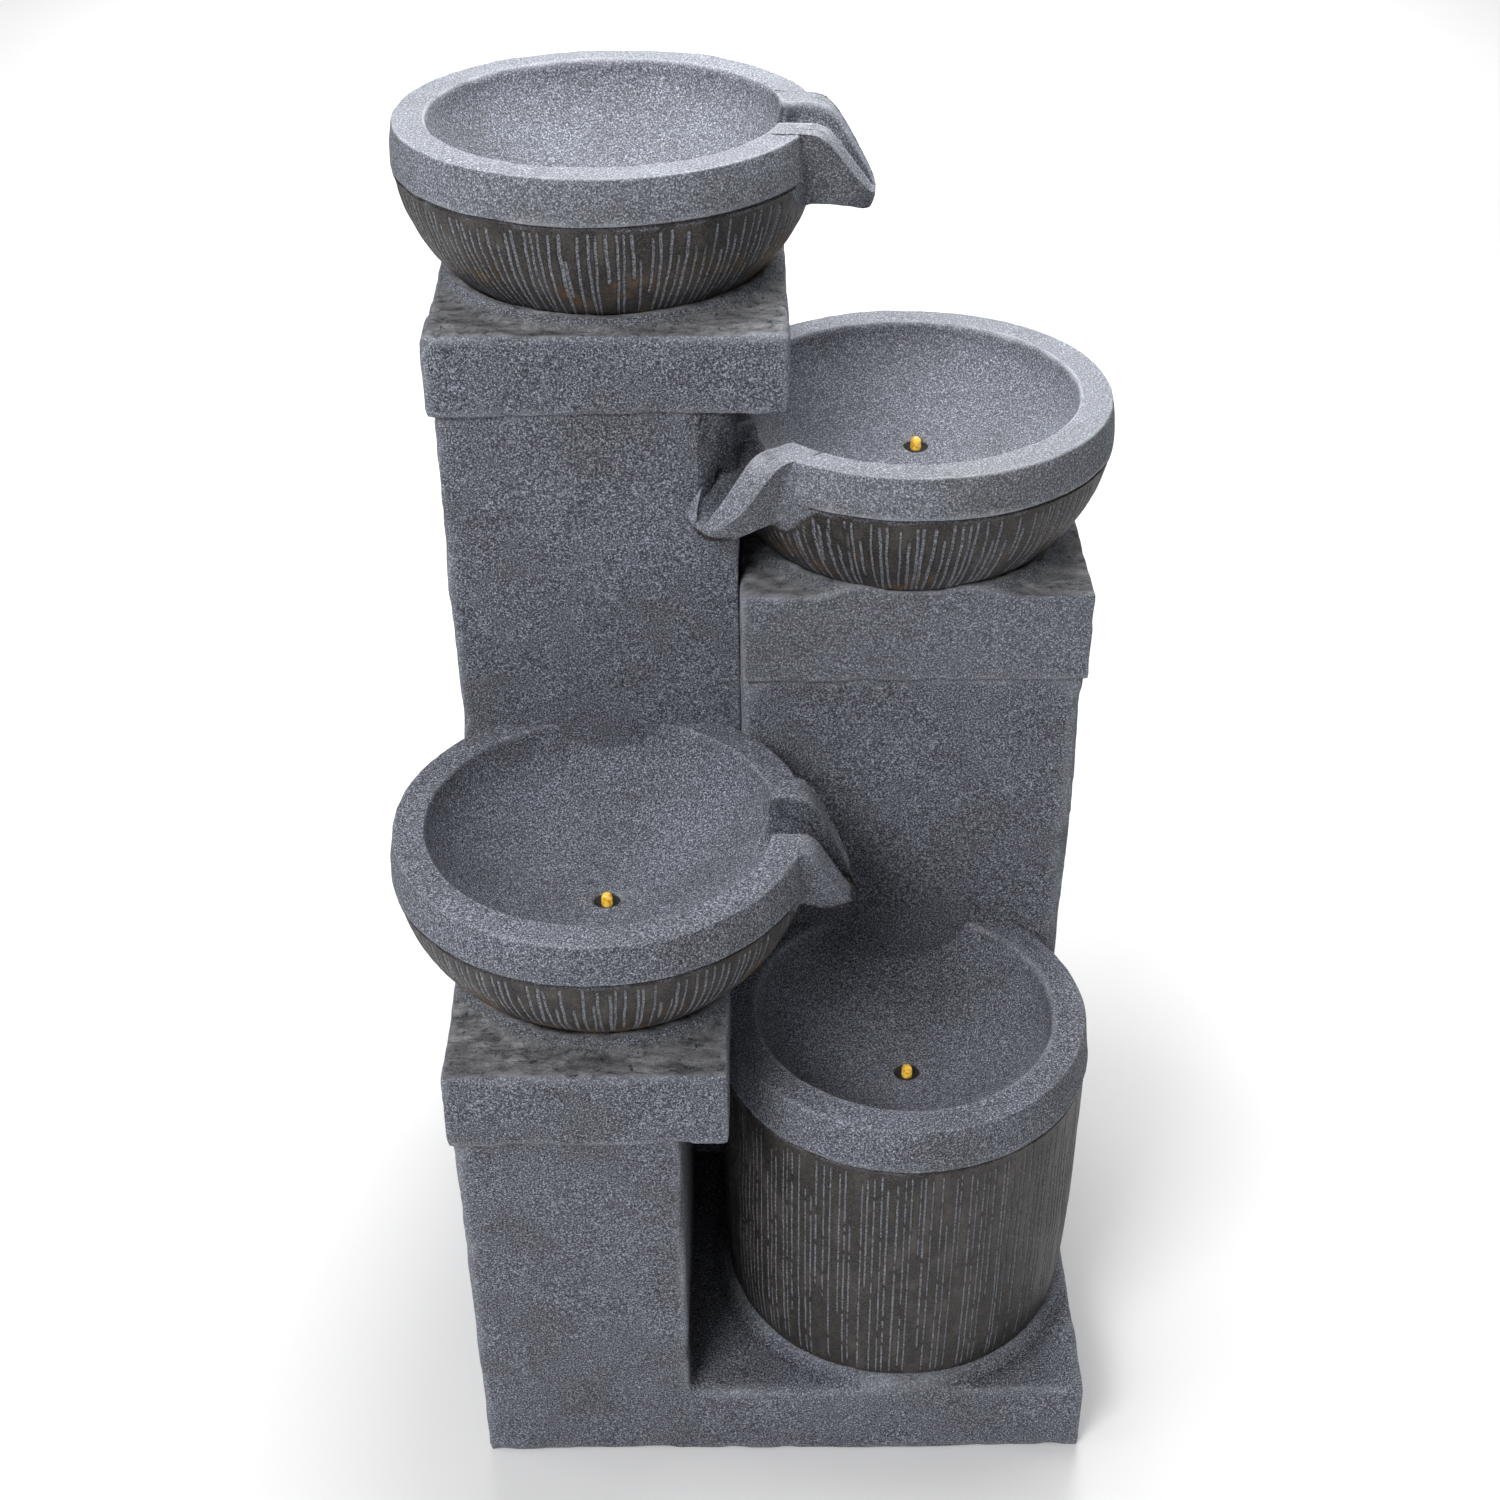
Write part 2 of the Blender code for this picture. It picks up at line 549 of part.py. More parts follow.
def make_lamps():
    """Lamps of two bowls and the pot, the junction box and every lead inside the pillars."""
    middle_z = lamp_seat_z(MIDDLE_BOWL, MOUTH_R, BOWL_DEPTH, MIDDLE_LAMP)
    lower_z = lamp_seat_z(LOWER_BOWL, MOUTH_R, BOWL_DEPTH, LOWER_LAMP)
    pot_z = lamp_seat_z(POT, POT_MOUTH_R, POT_DEPTH, POT_LAMP)
    make_lamp("middle", MIDDLE_LAMP, middle_z)
    make_lamp("lower", LOWER_LAMP, lower_z)
    make_lamp("pot", POT_LAMP, pot_z)
    lead_r = 0.0015
    tail = 0.0114
    box_low = Vector((0.0000, 0.1780, 0.2700))
    box_high = Vector((0.0240, 0.2080, 0.3100))
    junction = box("led_junction", box_low, box_high, BLACK_PLASTIC, PARTS)
    soften(junction, 0.0015)
    under = box_low[2] - GAP
    over = box_high[2] + GAP
    tube("led_lead_middle", ((*MIDDLE_LAMP, middle_z - tail), (*MIDDLE_LAMP, 0.5200),
                             (0.0900, 0.1250, 0.4500), (0.0300, 0.1800, 0.3800),
                             (0.0120, 0.1930, over + 0.0400), (0.0120, 0.1930, over)),
         lead_r, BLACK_RUBBER)
    tube("led_lead_lower", ((*LOWER_LAMP, lower_z - tail), (*LOWER_LAMP, 0.3200),
                            (-0.0980, -0.0800, 0.2450), (-0.1100, -0.0120, 0.1950),
                            (-0.1050, 0.0700, 0.2050), (-0.0450, 0.1400, 0.2250),
                            (-0.0080, 0.1600, 0.2220), (0.0060, 0.1860, 0.2400),
                            (0.0060, 0.1860, under)),
         lead_r, BLACK_RUBBER, 30)
    tube("led_lead_pot", ((*POT_LAMP, pot_z - tail), (*POT_LAMP, 0.1500), (*POT_LAMP, 0.0600),
                          (0.0880, -0.0850, 0.0180), (0.0500, -0.0300, 0.0120),
                          (0.0300, 0.0600, 0.0120), (0.0260, 0.1500, 0.0300),
                          (0.0220, 0.1850, 0.1100), (0.0190, 0.1850, 0.2000), (0.0190, 0.1850, under)),
         lead_r, BLACK_RUBBER, 34)
    tube("pump_lead", ((0.1150, PUMP_Y[1] + GAP, 0.0340), (0.1150, 0.1500, 0.0340),
                       (0.1150, 0.1580, 0.0340), (0.0900, 0.1750, 0.0380),
                       (0.0450, 0.1920, 0.0700), (0.0200, 0.1970, 0.1400),
                       (0.0140, 0.1980, 0.2050), (0.0140, 0.1980, under)),
         0.0025, BLACK_RUBBER, 28)
    gland_x, gland_z = GLAND_XZ
    tube("supply_lead", ((gland_x, 0.2050, gland_z), (gland_x, 0.1880, gland_z + 0.0100),
                         (0.1800, 0.1900, 0.1700), (0.1500, 0.1950, 0.2500),
                         (0.0700, 0.1960, 0.2900), (0.0243, 0.1960, 0.2950)),
         0.0022, BLACK_RUBBER, 24)


# ---------------------------------------------------------------- pump
def make_pump():
    """Submersible pump on four suction feet in the sump."""
    axis_x, axis_z = PUMP_AXIS_XZ
    front = PUMP_Y[0]
    housing = box("pump_housing", (PUMP_X[0], front, PUMP_Z[0]), (PUMP_X[1], PUMP_Y[1], PUMP_Z[1]),
                  BLACK_PLASTIC, PARTS)
    soften(housing, 0.0020)
    nozzle = rod("pump_nozzle", 0.0062, (*NOZZLE_XY, PUMP_Z[1] - 0.0060), (*NOZZLE_XY, NOZZLE_TOP))
    join(housing, nozzle)
    chamber = rod("impeller_chamber", 0.0130, (axis_x, front - 0.0050, axis_z),
                  (axis_x, front + 0.0300, axis_z), sides=24)
    shaft_bore = rod("shaft_bore", 0.0015, (axis_x, front + 0.0200, axis_z),
                     (axis_x, front + 0.0380, axis_z), sides=12)
    outlet = rod("pump_outlet", 0.0040, (*NOZZLE_XY, axis_z), (*NOZZLE_XY, NOZZLE_TOP + 0.0050))
    cut(housing, chamber, shaft_bore, outlet)
    rod("pump_shaft", 0.0012, (axis_x, front - 0.0040, axis_z), (axis_x, front + 0.0370, axis_z),
        CERAMIC, PARTS, 12)
    make_impeller(axis_x, front, axis_z)
    make_pump_cover(axis_x, front, axis_z)
    for number, (x, y) in enumerate(((0.0870, 0.0990), (0.1230, 0.0990),
                                     (0.0870, 0.1350), (0.1230, 0.1350)), start=1):
        foot = ((0.0, 0.0), (0.0030, 0.0), (0.0032, -0.0022), (0.0058, -0.0054), (0.0, -0.0054))
        turned("pump_foot_%d" % number, foot, (x, y, PUMP_Z[0] - GAP), BLACK_RUBBER, PARTS, 16)


def make_impeller(axis_x, front, axis_z):
    """Magnet rotor with four vanes and a bore for the shaft."""
    middle = (axis_x, front + 0.0150, axis_z)
    rotor = rod("pump_impeller", 0.0095, (axis_x, front + 0.0090, axis_z),
                (axis_x, front + 0.0270, axis_z), MAGNET, PARTS, 24)
    hub = rod("impeller_hub", 0.0040, (axis_x, front + 0.0010, axis_z), middle)
    vanes = [box("impeller_vane_%d" % turn, (-0.0118, -0.0060, -0.0008), (0.0118, 0.0060, 0.0008))
             for turn in range(2)]
    for turn, vane in enumerate(vanes):
        vane.location = (axis_x, front + 0.0070, axis_z)
        vane.rotation_euler = (0.0, turn * math.pi / 2, 0.0)
    join(rotor, hub, *vanes)
    bore = rod("impeller_bore", 0.0015, (axis_x, front - 0.0050, axis_z),
               (axis_x, front + 0.0350, axis_z), sides=12)
    cut(rotor, bore)


def make_pump_cover(axis_x, front, axis_z):
    """Slotted strainer cover over the chamber, with the flow dial on its face."""
    back = front - GAP
    face = back - 0.0080
    cover = box("pump_cover", (PUMP_X[0], face, PUMP_Z[0]), (PUMP_X[1], back, PUMP_Z[1]),
                BLACK_PLASTIC, PARTS)
    slots = [box("cover_slot_%d" % number, (axis_x + offset - 0.0015, face - 0.0050, axis_z - 0.0160),
                 (axis_x + offset + 0.0015, back + 0.0050, axis_z + 0.0160))
             for number, offset in enumerate((-0.0190, -0.0130, 0.0130, 0.0190))]
    socket = rod("shaft_socket", 0.0015, (axis_x, face + 0.0035, axis_z), (axis_x, back + 0.0050, axis_z),
                 sides=12)
    dial_z = axis_z + 0.0120
    dial_bore = rod("dial_bore", 0.0020, (axis_x, face - 0.0050, dial_z),
                    (axis_x, face + 0.0045, dial_z), sides=12)
    cut(cover, *slots, socket, dial_bore)
    dial = rod("flow_dial", 0.0055, (axis_x, face - 0.0043, dial_z), (axis_x, face - GAP, dial_z),
               BLACK_PLASTIC, PARTS)
    stem = rod("dial_stem", 0.0017, (axis_x, face - 0.0020, dial_z), (axis_x, face + 0.0040, dial_z),
               sides=12)
    pointer = box("dial_pointer", (axis_x - 0.0010, face - 0.0063, dial_z - 0.0045),
                  (axis_x + 0.0010, face - 0.0030, dial_z + 0.0045))
    join(dial, stem, pointer)


# ---------------------------------------------------------------- water path
def make_water_path():
    """Riser hose, outlet fitting in the top bowl, and the return from the pot."""
    tube("riser_hose", ((*NOZZLE_XY, NOZZLE_TOP + GAP), (*NOZZLE_XY, 0.0950), (*NOZZLE_XY, 0.1200),
                        (0.0850, 0.1100, 0.1750), (0.0300, 0.1200, 0.2150),
                        (-0.0080, 0.1200, 0.2300), (-0.0500, 0.1150, 0.2550),
                        (-0.0820, 0.1060, 0.3200), (*OUTLET_XY, 0.4200),
                        (*OUTLET_XY, 0.5600), (*OUTLET_XY, 0.7000)),
         0.0068, CLEAR_HOSE, 36)
    floor_z = TOP_BOWL[2] - BOWL_DEPTH
    tube_r = OUTLET_HOLE_R - GAP
    fitting = ((0.0045, 0.0120), (tube_r - 0.0010, 0.0120), (tube_r, 0.0110), (tube_r, 0.0045),
               (0.0125, 0.0048), (0.0125, 0.0016), (tube_r, 0.0016), (tube_r, -0.0409),
               (0.0045, -0.0409))
    turned("outlet_fitting", fitting, (*OUTLET_XY, floor_z), BLACK_PLASTIC, PARTS)
    under = TOP_BOWL[2] - RECESS_DEPTH - GAP
    nut = rod("outlet_nut", 0.0128, (*OUTLET_XY, under - 0.0080), (*OUTLET_XY, under),
              BLACK_PLASTIC, PARTS, 6)
    cut(nut, rod("nut_bore", OUTLET_HOLE_R, (*OUTLET_XY, under - WALL * 2), (*OUTLET_XY, under + WALL)))
    pipe_top = 0.2320
    pipe = ((0.0042, 0.0), (RETURN_HOLE_R - GAP, 0.0), (RETURN_HOLE_R - GAP, -0.1970), (0.0042, -0.1970))
    turned("return_pipe", pipe, (*RETURN_XY, pipe_top), BLACK_PLASTIC, PARTS)
    strainer = ((0.0, 0.0040), (0.0070, 0.0030), (0.0090, 0.0010), (0.0090, 0.0), (0.0038, 0.0),
                (0.0038, -0.0080), (0.0030, -0.0080), (0.0030, 0.0012), (0.0, 0.0012))
    cap = turned("return_strainer", strainer, (*RETURN_XY, 0.2363), BLACK_PLASTIC, PARTS)
    for number in range(3):
        angle = 2 * math.pi * number / 3
        x = RETURN_XY[0] + 0.0017 * math.cos(angle)
        y = RETURN_XY[1] + 0.0017 * math.sin(angle)
        cut(cap, rod("strainer_hole_%d" % number, 0.0010, (x, y, 0.2368), (x, y, 0.2420), sides=8))


# ---------------------------------------------------------------- rear fittings
def make_access_door():
    """Hatch in the rear of the middle pillar; its origin is on the pin axis."""
    half = DOOR_THICK / 2
    low_z = DOOR_Z[0] + DOOR_CLEARANCE
    high_z = DOOR_Z[1] - DOOR_CLEARANCE
    free_x = DOOR_X[1] - DOOR_CLEARANCE - DOOR_AXIS[0]
    outline = [(free_x, -half), (free_x, half)]
    for index in range(7):
        angle = math.radians(90.0 + 30.0 * index)
        outline.append((half * math.cos(angle), half * math.sin(angle)))
    lower = [(x, y, low_z) for x, y in outline]
    upper = [(x, y, high_z) for x, y in outline]
    door = loft("access_door", (lower, upper), STONE, PARTS, (*DOOR_AXIS, 0.0))
    bore = rod("door_bore", DOOR_BORE_R, (*DOOR_AXIS, low_z - 0.005), (*DOOR_AXIS, high_z + 0.005), sides=12)
    finger = rod("finger_hole", 0.0090, (0.1380, 0.2000, 0.1550), (0.1380, 0.2300, 0.1550))
    cut(door, bore, finger)
    for label, inner, outer in (("upper", high_z - 0.0100, DOOR_Z[1] + 0.0060),
                                ("lower", low_z + 0.0100, DOOR_Z[0] - 0.0060)):
        rod("door_pin_" + label, DOOR_PIN_R, (*DOOR_AXIS, inner), (*DOOR_AXIS, outer), STEEL, PARTS, 12)


def make_latch():
    """Turn button beside the door, shown turned clear of it."""
    x, z = LATCH_XZ
    back = REAR_Y + GAP
    latch = box("door_latch", (x - 0.0050, back, z - 0.0170), (x + 0.0050, back + 0.0040, z + 0.0170),
                BLACK_PLASTIC, PARTS)
    soften(latch, 0.0010)
    cut(latch, rod("latch_eye", 0.0021, (x, REAR_Y - WALL, z), (x, REAR_Y + 2 * WALL, z), sides=12))
    screw = ((0.0, 0.0018), (0.0025, 0.0015), (0.0040, 0.0), (0.0018, 0.0), (0.0018, -0.0120), (0.0, -0.0120))
    made = turned("latch_screw", screw, (x, back + 0.0043, z), STEEL, PARTS, 12)
    made.rotation_euler = (-math.pi / 2, 0.0, 0.0)


def make_rear_seals():
    """Cable gland and drain plug."""
    gland_x, gland_z = GLAND_XZ
    gland = ((0.0, 0.0030), (0.0060, 0.0030), (0.0080, 0.0012), (0.0080, GAP), (0.0052, GAP),
             (0.0052, -WALL - GAP), (0.0080, -WALL - GAP), (0.0080, -WALL - 0.0025), (0.0, -WALL - 0.0025))
    made = turned("cable_gland", gland, (gland_x, REAR_Y, gland_z), BLACK_RUBBER, PARTS)
    made.rotation_euler = (-math.pi / 2, 0.0, 0.0)
    drain_x, drain_z = DRAIN_XZ
    plug = ((0.0, 0.0065), (0.0040, 0.0065), (0.0040, 0.0030), (0.0090, 0.0025), (0.0090, GAP),
            (DRAIN_HOLE_R - GAP, GAP), (0.0050, -0.0100), (0.0, -0.0100))
    made = turned("drain_plug", plug, (drain_x, REAR_Y, drain_z), BLACK_RUBBER, PARTS)
    made.rotation_euler = (-math.pi / 2, 0.0, 0.0)


make_plinth()
make_tall_pillar()
make_middle_pillar()
make_front_pillar()
make_caps()
make_bowls()
make_pot()
make_lamps()
make_pump()
make_water_path()
make_access_door()
make_latch()
make_rear_seals()
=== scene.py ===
"""Looks of the tiered water fountain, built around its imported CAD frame.

Units are metres, +Z is up and the front faces -Y. Pillars, caps, plinth and door start
as copies of their CAD nodes, which are remeshed, worn and roughened like cast stone.
The bowls and the pot are turned skins with a spout, a rim groove and incised lines.
"""
import itertools
import json
import math

import bmesh
import bpy
import numpy as np
from mathutils import Matrix, Vector


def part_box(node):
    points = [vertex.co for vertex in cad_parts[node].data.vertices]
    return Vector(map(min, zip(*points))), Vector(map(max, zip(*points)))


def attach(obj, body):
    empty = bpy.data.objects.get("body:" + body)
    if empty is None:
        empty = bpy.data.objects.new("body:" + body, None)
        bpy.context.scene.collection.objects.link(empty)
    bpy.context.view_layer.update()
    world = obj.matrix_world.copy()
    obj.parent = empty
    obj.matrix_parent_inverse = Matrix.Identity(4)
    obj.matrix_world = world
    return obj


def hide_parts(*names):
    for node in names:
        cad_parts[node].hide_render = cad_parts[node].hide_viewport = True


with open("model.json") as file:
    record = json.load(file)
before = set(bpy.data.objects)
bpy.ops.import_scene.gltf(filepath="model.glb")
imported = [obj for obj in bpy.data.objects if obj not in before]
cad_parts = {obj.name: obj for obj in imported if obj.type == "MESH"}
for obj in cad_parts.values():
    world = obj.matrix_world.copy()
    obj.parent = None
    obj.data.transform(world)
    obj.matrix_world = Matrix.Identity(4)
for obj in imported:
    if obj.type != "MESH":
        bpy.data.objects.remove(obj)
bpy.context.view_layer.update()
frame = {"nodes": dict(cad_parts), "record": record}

ROOT = "fountain"


# ---------------------------------------------------------------- noise and mesh helpers
def lattice(cells, seed):
    """A repeatable value from -1 to 1 for each whole-numbered cell."""
    cells = cells.astype(np.int64)
    code = cells[:, 0] * 73856093 ^ cells[:, 1] * 19349663 ^ cells[:, 2] * 83492791
    code = (code + seed * 668265263) & 0x7FFFFFFF
    code = (code ^ (code >> 15)) * 1274126177 & 0x7FFFFFFF
    code = (code ^ (code >> 13)) * 1103515245 & 0x7FFFFFFF
    return ((code ^ (code >> 16)) & 0xFFFF) / 32767.5 - 1.0


def value_noise(points, size, seed):
    """Smooth noise from -1 to 1 with features of a size, one or three numbers."""
    scaled = points / np.asarray(size)
    cell = np.floor(scaled)
    part = scaled - cell
    part = part * part * (3 - 2 * part)
    total = np.zeros(len(points))
    for corner in itertools.product((0, 1), repeat=3):
        weight = np.prod(np.where(corner, part, 1 - part), axis=1)
        total += weight * lattice(cell + corner, seed)
    return total


def layered(points, layers, seed):
    """A sum of noises, each given as (feature size, height)."""
    return sum(height * value_noise(points, size, seed + number)
               for number, (size, height) in enumerate(layers))


def smoothstep(low, high, value):
    """Smooth rise from 0 at low to 1 at high."""
    part = np.clip((value - low) / (high - low), 0, 1)
    return part * part * (3 - 2 * part)


def spin_about_z(degrees):
    """Matrix that turns points about Z."""
    turn = math.radians(degrees)
    return np.array(((math.cos(turn), -math.sin(turn), 0), (math.sin(turn), math.cos(turn), 0), (0, 0, 1)))


def linked(name, mesh):
    piece = bpy.data.objects.new(name, mesh)
    bpy.context.scene.collection.objects.link(piece)
    return piece


def bake_modifiers(piece):
    """Replace a piece's mesh by what its modifiers make of it."""
    graph = bpy.context.evaluated_depsgraph_get()
    mesh = bpy.data.meshes.new_from_object(piece.evaluated_get(graph))
    piece.modifiers.clear()
    piece.data = mesh
    mesh.shade_smooth()


def read_points(mesh):
    points = np.empty(len(mesh.vertices) * 3)
    mesh.vertices.foreach_get("co", points)
    return points.reshape(-1, 3)


def read_normals(mesh):
    normals = np.empty(len(mesh.vertices) * 3, np.float32)
    mesh.vertex_normals.foreach_get("vector", normals)
    return normals.reshape(-1, 3).astype(float)


def write_points(mesh, points):
    mesh.vertices.foreach_set("co", points.astype(np.float32).ravel())
    mesh.update()


def store(mesh, name, values):
    """Keep one number for each vertex, for the material to read."""
    layer = mesh.attributes.new(name, "FLOAT", "POINT")
    layer.data.foreach_set("value", values.astype(np.float32))


def convexity(mesh, rounds=3):
    """How far each vertex stands proud of its neighbours: above 0 on edges, below 0 in creases."""
    points, normals = read_points(mesh), read_normals(mesh)
    edges = np.empty(len(mesh.edges) * 2, np.int32)
    mesh.edges.foreach_get("vertices", edges)
    first, second = edges.reshape(-1, 2).T
    count = np.bincount(edges, minlength=len(points)).astype(float)
    count[count == 0] = 1

    def spread(values):
        """Mean of the neighbours' values."""
        total = np.bincount(first, values[second], len(points))
        return (total + np.bincount(second, values[first], len(points))) / count

    middle = np.stack([spread(points[:, axis]) for axis in range(3)], axis=1)
    length = spread(np.linalg.norm(points - middle, axis=1)) + 1e-4
    proud = np.einsum("ij,ij->i", points - middle, normals) / length
    for _ in range(rounds):
        proud = 0.4 * proud + 0.6 * spread(proud)
    return proud


def subtract(piece, cutters):
    """Cut other solids out of a piece, and remove them."""
    for cutter in cutters:
        step = piece.modifiers.new("cut", "BOOLEAN")
        step.operation = "DIFFERENCE"
        step.solver = "MANIFOLD"
        step.object = cutter
    bake_modifiers(piece)
    for cutter in cutters:
        bpy.data.objects.remove(cutter)


def cutter_box(low, high):
    """Box between two corners, to cut with."""
    made = bmesh.new()
    bmesh.ops.create_cube(made, size=1.0)
    low, high = Vector(low), Vector(high)
    bmesh.ops.scale(made, vec=high - low, verts=made.verts)
    bmesh.ops.translate(made, vec=(low + high) / 2, verts=made.verts)
    mesh = bpy.data.meshes.new("cutter")
    made.to_mesh(mesh)
    made.free()
    return linked("cutter", mesh)


def cutter_rod(x, y, low_z, high_z, radius):
    """Upright rod, to cut with."""
    made = bmesh.new()
    bmesh.ops.create_cone(made, cap_ends=True, segments=64, radius1=radius, radius2=radius,
                          depth=high_z - low_z)
    bmesh.ops.translate(made, vec=(x, y, (low_z + high_z) / 2), verts=made.verts)
    mesh = bpy.data.meshes.new("cutter")
    made.to_mesh(mesh)
    made.free()
    return linked("cutter", mesh)


def skin(name, rings):
    """Closed mesh over rings[row][column]; the first and last rows close to a point."""
    rows, columns = rings.shape[:2]
    poles = np.stack([rings[0].mean(axis=0), rings[-1].mean(axis=0)])
    points = np.concatenate([rings.reshape(-1, 3), poles])
    row, column = np.meshgrid(np.arange(rows - 1), np.arange(columns), indexing="ij")
    after = (column + 1) % columns
    quads = np.stack([row * columns + column, (row + 1) * columns + column,
                      (row + 1) * columns + after, row * columns + after], axis=-1)
    here = np.arange(columns)
    beside = (here + 1) % columns
    last = (rows - 1) * columns
    start_fan = np.stack([np.full(columns, rows * columns), here, beside], axis=1)
    end_fan = np.stack([np.full(columns, rows * columns + 1), last + beside, last + here], axis=1)
    mesh = bpy.data.meshes.new(name)
    faces = quads.reshape(-1, 4).tolist() + start_fan.tolist() + end_fan.tolist()
    mesh.from_pydata(points.tolist(), [], faces)
    mesh.shade_smooth()
    mesh.update()
    return linked(name, mesh)


# ---------------------------------------------------------------- materials
class Look:
    """A Principled material whose pattern is read in the object's own metres."""

    def __init__(self, name, roughness, metallic=0.0):
        self.material = bpy.data.materials.new(name)
        self.material.use_nodes = True
        self.tree = self.material.node_tree
        self.shader = self.tree.nodes["Principled BSDF"]
        self.shader.inputs["Roughness"].default_value = roughness
        self.shader.inputs["Metallic"].default_value = metallic
        self.place = self.node("TexCoord").outputs["Object"]

    def node(self, kind, inputs=(), **settings):
        """New shader node, with its inputs linked or set."""
        made = self.tree.nodes.new("ShaderNode" + kind)
        for key, value in settings.items():
            setattr(made, key, value)
        for key, value in dict(inputs).items():
            if isinstance(value, bpy.types.NodeSocket):
                self.tree.links.new(value, made.inputs[key])
            else:
                made.inputs[key].default_value = value
        return made

    def noise(self, scale, detail=3.0, roughness=0.5, stretch=None):
        """Noise with a number of features for each metre, drawn out along an axis by stretch."""
        place = self.place
        if stretch:
            place = self.node("Mapping", {"Vector": place, "Scale": stretch}).outputs[0]
        return self.node("TexNoise", {"Vector": place, "Scale": scale, "Detail": detail,
                                      "Roughness": roughness}).outputs["Fac"]

    def ramp(self, factor, stops):
        """Colour ramp with stops of (position, colour or grey level)."""
        made = self.node("ValToRGB", {"Fac": factor})
        points = made.color_ramp.elements
        while len(points) < len(stops):
            points.new(0.5)
        for point, (position, colour) in zip(points, stops):
            point.position = position
            point.color = (*colour, 1.0) if isinstance(colour, tuple) else (colour,) * 3 + (1.0,)
        return made.outputs["Color"]

    def mix(self, factor, first, second, blend="MIX"):
        """Colour mix; each part is a socket, a colour or a number."""
        made = self.node("Mix", data_type="RGBA", blend_type=blend)
        for key, value in ((0, factor), (6, first), (7, second)):
            if isinstance(value, bpy.types.NodeSocket):
                self.tree.links.new(value, made.inputs[key])
            elif isinstance(value, tuple):
                made.inputs[key].default_value = (*value, 1.0)
            else:
                made.inputs[key].default_value = value
        return made.outputs[2]

    def maths(self, operation, first, second=0.0):
        return self.node("Math", {0: first, 1: second}, operation=operation).outputs[0]

    def read(self, name):
        """A number kept for each vertex by store."""
        return self.node("Attribute", attribute_name=name).outputs["Fac"]

    def finish(self, colour, height=None, depth=0.0002, roughness=None):
        """Link the pattern to the shader; depth is how deep the bump reads."""
        self.tree.links.new(colour, self.shader.inputs["Base Color"])
        if roughness is not None:
            self.tree.links.new(roughness, self.shader.inputs["Roughness"])
        if height is not None:
            bump = self.node("Bump", {"Strength": 1.0, "Distance": depth, "Height": height})
            self.tree.links.new(bump.outputs[0], self.shader.inputs["Normal"])
        return self.material


def granite_colour(look, tone):
    """Speckled blue-grey stone: returns its colour and its height."""
    grain = look.noise(880, 3, 0.7)
    fleck = look.noise(1900, 2, 0.6)
    both = look.maths("ADD", look.maths("MULTIPLY", grain, 0.60),
                      look.maths("MULTIPLY", fleck, 0.40))
    stops = ((0.40, 0.026), (0.46, 0.074), (0.50, 0.125), (0.54, 0.205), (0.61, 0.60))
    tint = (0.885, 0.94, 1.11)
    speckle = look.ramp(both, [(at, tuple(level * tone * part for part in tint))
                               for at, level in stops])
    drift = look.ramp(look.noise(13, 4, 0.6), ((0.32, (0.80, 0.79, 0.77)), (0.52, (1.0, 1.0, 1.0)),
                                               (0.70, (1.10, 1.11, 1.13))))
    return look.mix(1.0, speckle, drift, "MULTIPLY"), both


def weathered_stone(name, tone):
    """Granite with pale worn edges, painted shade in its creases, and brown-grey slate tops."""
    look = Look(name, 0.86)
    look.shader.inputs["Specular IOR Level"].default_value = 0.3
    colour, height = granite_colour(look, tone)
    slate = look.ramp(look.noise(120, 6, 0.72, (0.45, 1.0, 1.0)),
                      ((0.34, (0.050, 0.050, 0.050)), (0.46, (0.150, 0.150, 0.153)),
                       (0.56, (0.240, 0.238, 0.238)), (0.67, (0.40, 0.40, 0.41))))
    crack = look.ramp(look.noise(330, 4, 0.75, (0.30, 1.0, 1.0)), ((0.36, 0.25), (0.46, 1.0)))
    speck = look.ramp(look.noise(190, 2, 0.5), ((0.66, 1.0), (0.70, 0.22)))
    slate_colour = look.mix(1.0, look.mix(1.0, slate, crack, "MULTIPLY"), speck, "MULTIPLY")
    topped = look.mix(look.maths("MULTIPLY", look.read("slate"), 0.80), colour, slate_colour)
    # lighter at worn edges and pale collars, and painted light where a block is lightened as a whole
    worn = look.mix(look.maths("MULTIPLY", look.read("wear_and_painted_light"), 0.40), topped, (0.42, 0.44, 0.48))
    # painted shade: creases are darkened as if shade gathered in them
    crease_shaded = look.mix(look.read("crease_shade"), worn, (0.35, 0.35, 0.37), "MULTIPLY")
    return look.finish(crease_shaded, height, 0.0009)


